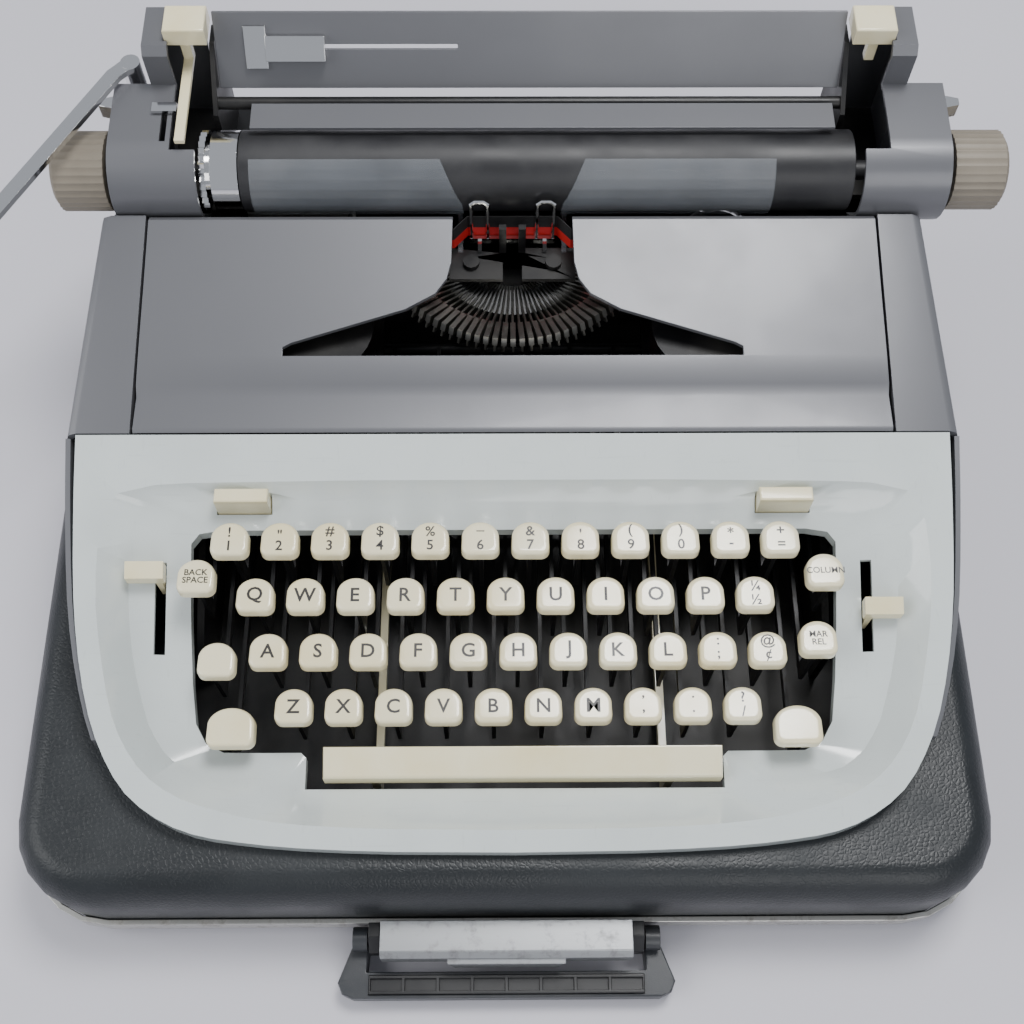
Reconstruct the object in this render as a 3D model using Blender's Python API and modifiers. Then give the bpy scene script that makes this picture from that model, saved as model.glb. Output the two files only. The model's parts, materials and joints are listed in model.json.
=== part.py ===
"""Manual typewriter in the lower half of its carrying case.

Lengths are metres. The machine is laid out about its own datum: X = 0 is its middle plane with +X to
the typist's right, Y = 0 is the line of the lowest row of letter keys with +Y towards the back, and
Z = 0 is the table. The whole datum is then moved so that the origin is the middle of the base.
"""

import math

import bmesh
import bpy
from mathutils import Matrix, Vector

MM = 0.001

# Clearances shared by all pieces
SEAT_GAP = 0.3 * MM
RUNNING_GAP = 0.4 * MM
OVERRUN = 5.0 * MM
WELD = 0.5 * MM
MERGE = 0.001 * MM
MITRE_LIMIT_SHARE = 0.4

# Rubber feet
FOOT_HEIGHT = 4.0 * MM
FOOT_RADIUS = 10.0 * MM
FOOT_TIP_RADIUS = 9.0 * MM
FOOT_INSET_X = 36.0 * MM
FOOT_INSET_Y = 36.0 * MM

# Carrying case
CASE_X = -3.5 * MM
CASE_HALF_WIDTH = 189.5 * MM
CASE_FRONT_Y = -70.0 * MM
CASE_REAR_Y = 268.0 * MM
CASE_CORNER = 32.0 * MM
CASE_CORNER_POINTS = 6
CASE_TOP_Z = 56.0 * MM
CASE_WALL = 3.5 * MM
CASE_ROLL_REACH = 13.0 * MM
CASE_ROLL_DROP = 18.0 * MM
CASE_ROLL_STEPS = 6
CASE_LEDGE = 5.0 * MM
TRIM_LOW_Z = 7.0 * MM
TRIM_HIGH_Z = 17.0 * MM
TRIM_DEPTH = 2.2 * MM

# Case handle
PLATE_HALF_WIDTH = 49.0 * MM
PLATE_REACH = 14.0 * MM
PLATE_TOP_Z = 28.0 * MM
PLATE_DROP = 13.0 * MM
PLATE_WALL = 2.4 * MM
TAB_HALF_WIDTH = 23.0 * MM
TAB_DEPTH = 2.5 * MM
TAB_HEIGHT = 9.0 * MM
TAB_DROP = 3.0 * MM
LUG_WIDTH = 11.0 * MM
LUG_REACH = 11.0 * MM
LUG_HEIGHT = 13.0 * MM
LUG_LOW_Z = 10.0 * MM
GRIP_PIVOT_REACH = 5.5 * MM
GRIP_PIVOT_Z = 16.0 * MM
GRIP_FRONT_REACH = 30.0 * MM
GRIP_FRONT_HALF_WIDTH = 66.5 * MM
GRIP_ARM_WIDTH = 6.0 * MM
GRIP_CORNER = 6.0 * MM
GRIP_CORNER_SHARE = 0.3
GRIP_EYE_RADIUS = 4.8 * MM
GRIP_BAR_DEPTH = 10.0 * MM
GRIP_THICKNESS = 9.0 * MM
GRIP_EDGE = 0.8 * MM
GRIP_LOW_Z = 2.0 * MM
INSERT_HALF_WIDTH = 54.0 * MM
INSERT_DEPTH = 7.0 * MM
INSERT_HEIGHT = 3.0 * MM
INSERT_CELLS = 8
INSERT_RIB = 1.2 * MM

# Keyboard surround and the planes that its rim and well follow
RIM_HALF_WIDTH = 171.7 * MM
RIM_FRONT_Y = -53.5 * MM
RIM_REAR_Y = 101.2 * MM
RIM_FRONT_Z = 62.0 * MM
RIM_REAR_Z = 102.0 * MM
RIM_DISH = 0.6 * MM
SURROUND_WALL = 2.0 * MM
WELL_HALF_WIDTH = 127.0 * MM
WELL_REAR_Y = 68.0 * MM
WELL_FRONT_Y = -13.5 * MM
WELL_REAR_Z = 84.0 * MM
WELL_FRONT_Z = 54.5 * MM
WELL_LIP = 5.0 * MM
NOTCH_HALF_WIDTH = 81.0 * MM
NOTCH_FRONT_Y = -27.5 * MM
NOTCH_FILLET = 2.0 * MM
REAR_SKIRT = 6.0 * MM
RIM_SHARES = ((0, 1), (0.35, 1), (0.70, 1), (0.875, 1), (1, 1), (0.998, 0.895), (0.994, 0.772),
              (0.985, 0.604), (0.967, 0.456), (0.938, 0.32), (0.90, 0.22), (0.85, 0.139), (0.78, 0.081),
              (0.70, 0.045), (0.605, 0.027), (0.466, 0.012), (0.262, 0.003), (0, 0))
BOWL_SHARES = ((0, 0.886), (0.34, 0.886), (0.65, 0.882), (0.815, 0.876), (0.897, 0.856), (0.926, 0.811),
               (0.938, 0.72), (0.935, 0.579), (0.914, 0.436), (0.888, 0.32), (0.85, 0.236),
               (0.798, 0.171), (0.728, 0.126), (0.652, 0.10), (0.577, 0.081), (0.46, 0.065),
               (0.262, 0.055), (0, 0.052))
WELL_SHARES = ((0, 1), (0.39, 1), (0.77, 1), (0.91, 1), (0.975, 0.985), (1, 0.94), (1, 0.80),
               (0.996, 0.558), (0.988, 0.313), (0.976, 0.13), (0.945, 0.043), (0.89, 0.002), (0.77, 0))
BOWL_PLAN_SHARES = (0.50, 0.30)
BOWL_DROP_SHARES = (0.70, 0.85)
BOWL_BLEND_FRONT_Y = -45.0 * MM
BOWL_BLEND_REAR_Y = 20.0 * MM
NOTCH_SLOPE_SHARE = 0.3
CURVE_PULL_SHARE = 0.0625
SHARP_TURN = math.radians(35)

# Body shell: side shoulders beside the ribbon cover, thin sides further forward, and the back
SHOULDER_FRONT_WIDTH = 26.4 * MM
SHOULDER_REAR_WIDTH = 19.5 * MM
GROOVE_HALF = 0.6 * MM
BODY_FRONT_HALF_WIDTH = 176.5 * MM
BODY_REAR_HALF_WIDTH = 167.0 * MM
BODY_FLARE = 4.0 * MM
BODY_WALL = 2.0 * MM
BODY_CORNER = 5.0 * MM
BODY_BACK_Y = 261.0 * MM
BODY_BACK_Z = 95.0 * MM
BODY_NOSE_Y = -2.0 * MM
BODY_BEND_SHARE = 0.3
NOSE_FLARE_SHARE = 0.4
NOSE_START_SHARE = 0.9
BODY_FLANGE = 6.0 * MM
RIM_STEP = 3.0 * MM

# Ribbon cover
COVER_FRONT_Y = 101.8 * MM
COVER_REAR_Y = 189.3 * MM
COVER_FRONT_Z = 102.2 * MM
COVER_REAR_Z = 125.0 * MM
COVER_WALL = 1.8 * MM
COVER_FLANGE = 6.0 * MM
COVER_STATIONS_SHARE = (-1, -0.66, -0.33, 0, 0.33, 0.66, 1)
COVER_PROFILE_SHARES = ((0, 0), (0.022, 0.05), (0.17, 0.10), (0.215, 0.225), (0.34, 0.37), (0.68, 0.70),
                        (0.975, 1.0), (1, 0.95))
OPENING_HALF_WIDTH = 91.5 * MM
OPENING_FRONT_Y = 131.8 * MM
NECK_HALF_WIDTH = 24.0 * MM
OPENING_SHARES = ((1.0, 0.0), (1.0, 0.06), (0.965, 0.09), (0.47, 0.325), (0.34, 0.435), (0.29, 0.54),
                  (0.27, 0.66))
COVER_PIN_RADIUS = 1.6 * MM

# Typing keys
KEY_PITCH = 19.05 * MM
ROW_RISE = 9.34 * MM
LOW_ROW_TOP_Z = 73.0 * MM
FIRST_KEY_X = -108.2 * MM
ROW_STAGGER_SHARES = (0.0, 0.5, 0.75, 1.25)
ROW_COUNTS = (12, 11, 11, 10)
KEY_WIDTH = 14.6 * MM
KEY_DEPTH = 14.0 * MM
KEY_HEIGHT = 5.0 * MM
KEY_CORNER = 3.0 * MM
KEY_EDGE = 1.0 * MM
KEY_TAPER = 0.25 * MM
KEY_REAR_ANGLES = tuple(math.radians(angle) for angle in (18, 54, 90, 126, 162))
STEM_DEPTH = 6.0 * MM
LEVER_THICKNESS = 1.6 * MM
LEVER_HEIGHT = 5.0 * MM
ROW_PIVOT_Y = 165.0 * MM
LOW_LEVER_Z = 38.0 * MM
LEVER_RISE = 8.0 * MM
ROW_BAR_RADIUS = 2.4 * MM
H_ROW = 2
H_COLUMN = 5

# Space bar
SPACE_X = 3.0 * MM
SPACE_HALF_WIDTH = 76.5 * MM
SPACE_REAR_Y = -13.5 * MM
SPACE_FRONT_Y = -25.0 * MM
SPACE_REAR_Z = 64.5 * MM
SPACE_FRONT_Z = 60.5 * MM
SPACE_HEIGHT = 8.0 * MM
SPACE_ARM_X = 58.0 * MM
SPACE_ARM_Z = 23.5 * MM
SPACE_PIVOT_Y = 100.0 * MM
SPACE_EDGE = 1.2 * MM

# Function keys: key centre, height of the key top, width, depth and place of the lever
SIDE_PIVOT_Y = 148.0 * MM
SHIFT_KEY_X = 108.0 * MM
SHIFT_KEY_Y = -7.5 * MM
SHIFT_KEY_TOP_Z = 71.0 * MM
SHIFT_KEY_WIDTH = 18.5 * MM
SHIFT_KEY_DEPTH = 15.5 * MM
SHIFT_LEVER_X = 112.5 * MM
SHIFT_LEVER_Z = 31.0 * MM
LOCK_KEY_X = -113.5 * MM
LOCK_KEY_Y = 16.0 * MM
LOCK_KEY_TOP_Z = 81.0 * MM
LOCK_LEVER_X = -117.0 * MM
LOCK_LEVER_Z = 44.0 * MM
BACK_SPACE_X = -121.0 * MM
BACK_SPACE_Y = 44.5 * MM
BACK_SPACE_TOP_Z = 95.0 * MM
BACK_SPACE_LEVER_X = -121.5 * MM
COLUMN_KEY_X = 118.5 * MM
COLUMN_KEY_Y = 46.0 * MM
COLUMN_KEY_TOP_Z = 95.0 * MM
COLUMN_LEVER_X = 121.5 * MM
HIGH_LEVER_Z = 60.0 * MM
RELEASE_KEY_X = 115.8 * MM
RELEASE_KEY_Y = 22.5 * MM
RELEASE_KEY_TOP_Z = 84.5 * MM
RELEASE_LEVER_X = 117.0 * MM
SIDE_PIN_RADIUS = 2.0 * MM

# Tab-stop keys in the back wall of the bowl
STOP_KEY_X = 106.0 * MM
STOP_KEY_WIDTH = 21.0 * MM
STOP_KEY_Y = 77.0 * MM
STOP_KEY_DEPTH = 6.0 * MM
STOP_KEY_TOP_Z = 98.0 * MM
STOP_KEY_HEIGHT = 14.0 * MM
STOP_STEM_WIDTH = 8.0 * MM
STOP_STEM_LOW_Z = 70.0 * MM

# Sliding levers in the side slopes of the bowl
SLIDER_PLACE_SHARE = 0.358
SLOT_PLACE_SHARE = 0.257
SLOT_WIDTH_SHARE = 0.098
SLIDER_WIDTH_SHARE = 0.335
SLIDER_STEM_SHARE = 0.054
SLIDER_DROP_SHARE = 0.9
SLIDER_SLOT_FRONT_Y = 22.0 * MM
SLIDER_SLOT_REAR_Y = 56.0 * MM
SLIDER_DEPTH = 6.5 * MM
SLIDER_HEIGHT = 5.0 * MM
SLIDER_LIFT = 4.0 * MM
SLIDER_STEM_DROP = 14.0 * MM
TOUCH_LEVER_Y = 50.0 * MM
SELECTOR_Y = 36.0 * MM

# Main frame
FRAME_FLOOR = 2.0 * MM
FRAME_HALF_WIDTH = 150.0 * MM
FRAME_FRONT_Y = -42.0 * MM
FRAME_REAR_Y = 250.0 * MM
FRAME_SIDE_X = 128.0 * MM
FRAME_SIDE_WALL = 3.0 * MM
FRAME_SIDE_FRONT_Y = 30.0 * MM
FRAME_SIDE_TOP_Z = 70.0 * MM
FRAME_STEP_Y = 118.0 * MM
BRIDGE_FRONT_Y = 169.0 * MM
BRIDGE_REAR_Y = 192.0 * MM
BRIDGE_HEIGHT = 6.0 * MM
SHELF_THICKNESS = 2.0 * MM
SHELF_INNER_X = 54.0 * MM
RAIL_HALF_LENGTH = 152.0 * MM
RAIL_FRONT_Y = 226.0 * MM
RAIL_DEPTH = 14.0 * MM
RAIL_HEIGHT = 7.0 * MM

# Type mechanism, set out round the vertical line through the printing point
PRINT_GAP = 0.5 * MM
BAR_COUNT = 43
FAN_ANGLE = math.radians(156)
PIVOT_RADIUS = 16.0 * MM
PIVOT_Z = 89.0 * MM
BAR_SLOPE = math.radians(25)
BAR_LENGTH = 41.0 * MM
BAR_THICKNESS = 0.8 * MM
BAR_HEIGHT = 3.2 * MM
BAR_HUB = 2.0 * MM
SLUG_WIDTH = 2.1 * MM
SLUG_LENGTH = 14.0 * MM
SLUG_THICKNESS = 3.6 * MM
SLUG_TIP = 5.0 * MM
RING_RADIUS = 1.2 * MM
SEGMENT_INNER = 22.0 * MM
SEGMENT_OUTER = 34.0 * MM
SEGMENT_TOP_Z = 97.0 * MM
SEGMENT_MARGIN = math.radians(5)
SLOT_WIDTH = 1.1 * MM
GUIDE_HALF_WIDTH = 26.0 * MM
GUIDE_FRONT_Y = 172.0 * MM
GUIDE_REAR_Y = 187.5 * MM
GUIDE_Z = 103.0 * MM
GUIDE_THICKNESS = 2.0 * MM
GUIDE_SLOT = 8.0 * MM
PRONG_WIDTH = 3.0 * MM
PRONG_DEPTH = 2.5 * MM
PRONG_GAP = 5.0 * MM
PRONG_TOP_Z = 121.0 * MM
GUIDE_POST_X = 7.0 * MM
GUIDE_POST_RADIUS = 2.2 * MM
GUIDE_SCREW_X = 17.0 * MM
GUIDE_SCREW_Y = 179.5 * MM
GUIDE_SCREW_RADIUS = 3.4 * MM
GUIDE_SCREW_HEIGHT = 2.2 * MM

# Ribbon and its carrier
SPOOL_X = 80.0 * MM
SPOOL_Y = 150.0 * MM
SPOOL_LOW_Z = 88.5 * MM
SPOOL_HEIGHT = 15.5 * MM
SPOOL_RADIUS = 23.5 * MM
SPOOL_FLANGE = 0.9 * MM
SPOOL_PACK_RADIUS = 19.0 * MM
SPOOL_BORE = 3.4 * MM
SPINDLE_RADIUS = 3.0 * MM
RIBBON_HEIGHT = 12.7 * MM
RIBBON_THICKNESS = 0.35 * MM
RIBBON_LOW_Z = 107.0 * MM
RIBBON_STRAIGHT_X = 18.5 * MM
RIBBON_LEAVE_X = 62.8 * MM
RIBBON_LEAVE_Y = 166.5 * MM
RIBBON_TURN_X = 66.0 * MM
RIBBON_BEND_X = 24.0 * MM
RIBBON_BEND_Y = 186.2 * MM
LOOP_X = 13.5 * MM
LOOP_HALF_WIDTH = 3.4 * MM
LOOP_TOP_Z = 131.0 * MM
LOOP_WIRE = 0.8 * MM

# Carriage: positions along X are from the middle of the carriage
CARRIAGE_REST_X = 7.2 * MM
PLATEN_Y = 210.0 * MM
PLATEN_Z = 127.0 * MM
PLATEN_RADIUS = 16.2 * MM
PLATEN_HALF_LENGTH = 130.0 * MM
PLATEN_SIDES = 40
SHAFT_RADIUS = 4.0 * MM
COLLAR_LENGTH = 10.5 * MM
RATCHET_WIDTH = 2.5 * MM
RATCHET_TEETH = 30
RATCHET_TOOTH = 1.2 * MM
RATCHET_NECK = 2.2 * MM
CARD_GAP = 0.5 * MM
CARD_THICKNESS = 0.7 * MM
CARD_INNER_X = 20.0 * MM
CARD_TOP_INNER_X = 29.0 * MM
CARD_OUTER_X = 105.0 * MM
CARD_ARM_INSET = 0.5 * MM
CARD_ARM_WIDTH = 2.0 * MM
CARD_ARM_THICKNESS = 1.2 * MM
CARD_BEND_SHARE = 0.35
CARD_LOW_ANGLE = math.radians(-42)
CARD_HIGH_ANGLE = math.radians(66)
KNOB_INNER_X = 170.3 * MM
KNOB_LENGTH = 22.0 * MM
KNOB_RADIUS = 16.0 * MM
KNOB_RIBS = 32
KNOB_RIB_DEPTH = 0.5 * MM
KNOB_EDGE = 1.5 * MM
END_INNER_X = 133.0 * MM
END_OUTER_X = 167.6 * MM
END_TOP_X = 153.0 * MM
END_GAP = 0.9 * MM
END_WALL = 1.6 * MM
END_STEP_Y = 229.0 * MM
END_BLOCK_Y = 237.0 * MM
END_BACK_Y = 263.0 * MM
END_SHELF_Z = 147.5 * MM
END_TOP_Z = 166.0 * MM
END_SLOT_WIDTH = 10.0 * MM
END_SLOPE = 3.0 * MM
END_LOW_ANGLE = 234
BED_LOW_Z = 103.0 * MM
BED_THICKNESS = 3.0 * MM
BED_FRONT_Y = 214.0 * MM
BED_REAR_Y = 262.0 * MM
BED_LIP = 2.7 * MM
BED_LIP_DROP = 4.0 * MM
UPRIGHT_THICKNESS = 2.0 * MM
UPRIGHT_FRONT_Y = 228.5 * MM
TABLE_HALF_WIDTH = 126.5 * MM
TABLE_LOW_Y = 240.5 * MM
TABLE_LOW_Z = 141.5 * MM
TABLE_HIGH_Y = 255.5 * MM
TABLE_HIGH_Z = 168.0 * MM
TABLE_THICKNESS = 1.6 * MM
TABLE_SLOT_LEFT_X = -107.0 * MM
TABLE_SLOT_RIGHT_X = -29.0 * MM
TABLE_SLOT_HEIGHT = 1.6 * MM
TABLE_SLOT_SHARE = 0.55
GUIDE_BLOCK_X = -94.0 * MM
GUIDE_BLOCK_WIDTH = 24.0 * MM
GUIDE_BLOCK_HEIGHT = 8.5 * MM
GUIDE_BLOCK_DEPTH = 4.0 * MM
GUIDE_BLADE_X = -111.5 * MM
GUIDE_BLADE_WIDTH = 6.0 * MM
GUIDE_BLADE_LENGTH = 17.0 * MM
GUIDE_BLADE_THICKNESS = 1.2 * MM
FEED_ROD_Y = 234.6 * MM
FEED_ROD_Z = 142.0 * MM
FEED_ROD_RADIUS = 2.6 * MM
BAIL_LEFT_X = -112.0 * MM
BAIL_RIGHT_X = 122.0 * MM
BAIL_FRONT_Y = 216.0 * MM
BAIL_REAR_Y = 228.5 * MM
BAIL_LOW_Z = 144.6 * MM
BAIL_THICKNESS = 1.4 * MM
BAIL_ARM = 2.0 * MM
MARGIN_KEY_X = 136.0 * MM
MARGIN_KEY_Y = 249.5 * MM
MARGIN_KEY_WIDTH = 16.5 * MM
MARGIN_KEY_DEPTH = 13.5 * MM
MARGIN_KEY_TOP_Z = 171.0 * MM
MARGIN_KEY_HEIGHT = 8.0 * MM
MARGIN_STEM_WIDTH = 4.0 * MM
MARGIN_ARM_Z = 149.5 * MM
MARGIN_ARM_FRONT_Y = 205.0 * MM
LEVER_HUB_X = -161.0 * MM
LEVER_HUB_Y = 244.0 * MM
LEVER_HUB_RADIUS = 4.0 * MM
LEVER_Z = 151.5 * MM
LEVER_BEND_X = -167.0 * MM
LEVER_BEND_Y = 238.0 * MM
LEVER_TIP_X = -213.0 * MM
LEVER_TIP_Y = 160.0 * MM
LEVER_WIDTH = 6.0 * MM
LEVER_DEPTH = 2.6 * MM
SPACING_X = -146.0 * MM
SPACING_Y = 224.0 * MM
SPACING_WIDTH = 10.0 * MM
SPACING_DEPTH = 4.5 * MM
SPACING_THICKNESS = 1.6 * MM
SPACING_STEM = 1.6 * MM
SPACING_TRAVEL = 13.0 * MM
RELEASE_Y = 232.0 * MM
RELEASE_Z = 136.0 * MM
RELEASE_HEIGHT = 7.0 * MM
RELEASE_DEPTH = 7.0 * MM
RELEASE_REACH = 7.0 * MM

# Drive parts under the carriage
DRUM_X = -95.0 * MM
DRUM_Y = 232.0 * MM
DRUM_RADIUS = 24.0 * MM
DRUM_LOW_Z = 62.0 * MM
DRUM_HEIGHT = 18.0 * MM
DRUM_HUB = 4.0 * MM
DRUM_FLANGE = 1.5 * MM
BELL_X = 96.0 * MM
BELL_Y = 228.0 * MM
BELL_RADIUS = 21.0 * MM
BELL_HEIGHT = 14.0 * MM
BELL_WALL = 1.5 * MM
BELL_ANGLES = tuple(math.radians(angle) for angle in (75, 55, 35, 15, 0))
BELL_LOW_Z = 50.0 * MM
BELL_POST_RADIUS = 3.0 * MM

# Sizes that follow from the ones above
CASE_LOW_Z = FOOT_HEIGHT + SEAT_GAP
CASE_FLOOR_Z = CASE_LOW_Z + CASE_WALL
FRAME_LOW_Z = CASE_FLOOR_Z + SEAT_GAP
FRAME_FLOOR_Z = FRAME_LOW_Z + FRAME_FLOOR
SKIRT_LOW_Z = CASE_TOP_Z + SEAT_GAP
PRINT_Y = PLATEN_Y - PLATEN_RADIUS
CARD_INNER = PLATEN_RADIUS + CARD_GAP
CARD_OUTER = CARD_INNER + CARD_THICKNESS
END_INNER = CARD_OUTER + END_GAP
END_OUTER = END_INNER + END_WALL
BED_TOP_Z = BED_LOW_Z + BED_THICKNESS
RAIL_TOP_Z = BED_LOW_Z - SEAT_GAP
SEGMENT_LOW_Z = PIVOT_Z - BAR_HUB - SEAT_GAP - 2 * RING_RADIUS - WELD
BRIDGE_TOP_Z = SEGMENT_LOW_Z - SEAT_GAP
SHELF_TOP_Z = SPOOL_LOW_Z - SEAT_GAP
GRIP_FRONT_Y = CASE_FRONT_Y - GRIP_FRONT_REACH
CASE_SHIFT = (CASE_X, 0, 0)
SIDE_STRIP = RIM_HALF_WIDTH - WELL_HALF_WIDTH
SLIDER_X = WELL_HALF_WIDTH + SIDE_STRIP * SLIDER_PLACE_SHARE
SLIDER_SLOT_X = WELL_HALF_WIDTH + SIDE_STRIP * SLOT_PLACE_SHARE
SLIDER_SLOT_WIDTH = SIDE_STRIP * SLOT_WIDTH_SHARE
SLIDER_WIDTH = SIDE_STRIP * SLIDER_WIDTH_SHARE
SLIDER_STEM = SIDE_STRIP * SLIDER_STEM_SHARE
GROOVE_FRONT_X = BODY_FRONT_HALF_WIDTH - SHOULDER_FRONT_WIDTH
GROOVE_REAR_X = BODY_REAR_HALF_WIDTH - SHOULDER_REAR_WIDTH
KNOB_OUTER_X = KNOB_INNER_X + KNOB_LENGTH
LEFT_END_X = CARRIAGE_REST_X + LEVER_TIP_X
RIGHT_END_X = CARRIAGE_REST_X + KNOB_OUTER_X
ORIGIN_X = (LEFT_END_X + RIGHT_END_X) / 2
ORIGIN_Y = (GRIP_FRONT_Y + CASE_REAR_Y + SEAT_GAP + TRIM_DEPTH) / 2
MATERIALS = {
    "case_grain": ((0.045, 0.055, 0.062), 0.55, 0.0),
    "case_metal": ((0.62, 0.62, 0.60), 0.35, 1.0),
    "foot_rubber": ((0.03, 0.03, 0.03), 0.8, 0.0),
    "grip_grey": ((0.09, 0.095, 0.10), 0.5, 0.0),
    "black_plastic": ((0.015, 0.015, 0.017), 0.4, 0.0),
    "grey_paint": ((0.20, 0.21, 0.225), 0.42, 0.2),
    "white_gloss": ((0.72, 0.75, 0.74), 0.2, 0.0),
    "key_cream": ((0.80, 0.76, 0.62), 0.35, 0.0),
    "frame_black": ((0.02, 0.02, 0.022), 0.5, 0.3),
    "bright_steel": ((0.62, 0.61, 0.58), 0.3, 1.0),
    "chrome": ((0.78, 0.78, 0.78), 0.12, 1.0),
    "platen_rubber": ((0.018, 0.018, 0.02), 0.6, 0.0),
    "knob_taupe": ((0.30, 0.27, 0.22), 0.5, 0.0),
    "ribbon_cloth": ((0.03, 0.02, 0.02), 0.9, 0.0),
    "clear_plastic": ((0.75, 0.80, 0.85), 0.1, 0.0),
}


def clear_scene():
    """Remove every object that the scene starts with."""
    for item in list(bpy.data.objects):
        bpy.data.objects.remove(item, do_unlink=True)


def collection(name):
    """A new collection linked to the scene."""
    group = bpy.data.collections.new(name)
    bpy.context.scene.collection.children.link(group)
    return group


def material(name):
    """The Principled material of that name from the table above."""
    found = bpy.data.materials.get(name)
    if found:
        return found
    colour, roughness, metallic = MATERIALS[name]
    made = bpy.data.materials.new(name)
    made.use_nodes = True
    shader = made.node_tree.nodes["Principled BSDF"]
    shader.inputs["Base Color"].default_value = (*colour, 1)
    shader.inputs["Roughness"].default_value = roughness
    shader.inputs["Metallic"].default_value = metallic
    made.diffuse_color = (*colour, 1)
    return made


def lerp(start, end, share):
    """The value that lies that share of the way from start to end."""
    return start + (end - start) * share


def box(low, high):
    """A box between two corners."""
    bm = bmesh.new()
    bmesh.ops.create_cube(bm, size=1)
    low, high = Vector(low), Vector(high)
    size = high - low
    centre = (low + high) / 2
    bmesh.ops.scale(bm, vec=size, verts=bm.verts)
    bmesh.ops.translate(bm, vec=centre, verts=bm.verts)
    return bm


def rod(start, end, radius, sides=12, end_radius=None):
    """A cylinder or cone between two points."""
    start, end = Vector(start), Vector(end)
    bm = bmesh.new()
    length = (end - start).length
    top_radius = radius if end_radius is None else end_radius
    bmesh.ops.create_cone(bm, cap_ends=True, segments=sides, radius1=radius, radius2=top_radius, depth=length)
    turn = Vector((0, 0, 1)).rotation_difference(end - start).to_matrix().to_4x4()
    bmesh.ops.transform(bm, matrix=Matrix.Translation((start + end) / 2) @ turn, verts=bm.verts)
    return bm


def from_object(item):
    """The evaluated mesh of an object as a bmesh, and the object removed."""
    view = bpy.context.evaluated_depsgraph_get()
    mesh = bpy.data.meshes.new_from_object(item.evaluated_get(view))
    bm = bmesh.new()
    bm.from_mesh(mesh)
    bmesh.ops.transform(bm, matrix=item.matrix_world, verts=bm.verts)
    bpy.data.meshes.remove(mesh)
    bpy.data.objects.remove(item, do_unlink=True)
    return bm


def to_object(bm, name):
    """A plain object in the workshop collection."""
    mesh = bpy.data.meshes.new(name)
    bm.to_mesh(mesh)
    bm.free()
    item = bpy.data.objects.new(name, mesh)
    bpy.data.collections["workshop"].objects.link(item)
    return item


PLANES = {
    "XY": Matrix.Identity(4),
    "YZ": Matrix(((0, 0, 1, 0), (1, 0, 0, 0), (0, 1, 0, 0), (0, 0, 0, 1))),
    "XZ": Matrix(((1, 0, 0, 0), (0, 0, -1, 0), (0, 1, 0, 0), (0, 0, 0, 1))),
}


def plate(outlines, plane, low, high):
    """Flat outlines in a plane, filled and drawn out along the plane's third axis from low to high."""
    curve = bpy.data.curves.new("outline", "CURVE")
    curve.dimensions = "2D"
    curve.fill_mode = "BOTH"
    curve.extrude = abs(high - low) / 2
    for outline in outlines:
        spline = curve.splines.new("POLY")
        spline.points.add(len(outline) - 1)
        for point, (u, v) in zip(spline.points, outline):
            point.co = (u, v, 0, 1)
        spline.use_cyclic_u = True
    item = bpy.data.objects.new("outline", curve)
    bpy.data.collections["workshop"].objects.link(item)
    bm = from_object(item)
    bpy.data.curves.remove(curve)
    bmesh.ops.remove_doubles(bm, verts=bm.verts, dist=MERGE)
    middle = (low + high) / 2
    third = -middle if plane == "XZ" else middle
    bmesh.ops.transform(bm, matrix=PLANES[plane] @ Matrix.Translation((0, 0, third)), verts=bm.verts)
    bmesh.ops.recalc_face_normals(bm, faces=bm.faces)
    return bm


def wire(points, radius, sides=8):
    """A round wire through points, with filled ends."""
    curve = bpy.data.curves.new("wire", "CURVE")
    curve.dimensions = "3D"
    curve.bevel_depth = radius
    curve.bevel_resolution = max(sides // 4 - 1, 0)
    curve.use_fill_caps = True
    curve.resolution_u = 1
    spline = curve.splines.new("POLY")
    spline.points.add(len(points) - 1)
    for point, place in zip(spline.points, points):
        point.co = (*place, 1)
    item = bpy.data.objects.new("wire", curve)
    bpy.data.collections["workshop"].objects.link(item)
    bm = from_object(item)
    bpy.data.curves.remove(curve)
    bmesh.ops.remove_doubles(bm, verts=bm.verts, dist=MERGE)
    bmesh.ops.recalc_face_normals(bm, faces=bm.faces)
    return bm


def turned(profile, steps=24):
    """A profile of (radius, height) points, listed down its outer side, turned about Z."""
    bm = bmesh.new()
    points = [bm.verts.new((radius, 0, height)) for radius, height in profile]
    for first, second in zip(points, points[1:]):
        bm.edges.new((first, second))
    if profile[0][0] > 0:
        bm.edges.new((points[-1], points[0]))
    item = to_object(bm, "profile")
    screw = item.modifiers.new("turn", "SCREW")
    screw.steps = steps
    screw.render_steps = steps
    screw.use_merge_vertices = True
    screw.merge_threshold = MERGE
    bm = from_object(item)
    bmesh.ops.remove_doubles(bm, verts=bm.verts, dist=MERGE)
    bmesh.ops.recalc_face_normals(bm, faces=bm.faces)
    return bm


def loft(rings):
    """A closed solid through rings of equally many points, capped at both ends."""
    bm = bmesh.new()
    rows = [[bm.verts.new(point) for point in ring] for ring in rings]
    for upper, lower in zip(rows, rows[1:]):
        for index, start in enumerate(upper):
            following = (index + 1) % len(upper)
            bm.faces.new((start, upper[following], lower[following], lower[index]))
    bm.faces.new(rows[0])
    bm.faces.new(rows[-1])
    bmesh.ops.recalc_face_normals(bm, faces=bm.faces)
    return bm


def together(*parts):
    """Several meshes that don't touch, as one mesh."""
    whole = bmesh.new()
    for part in parts:
        mesh = bpy.data.meshes.new("part")
        part.to_mesh(mesh)
        part.free()
        whole.from_mesh(mesh)
        bpy.data.meshes.remove(mesh)
    return whole


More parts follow.
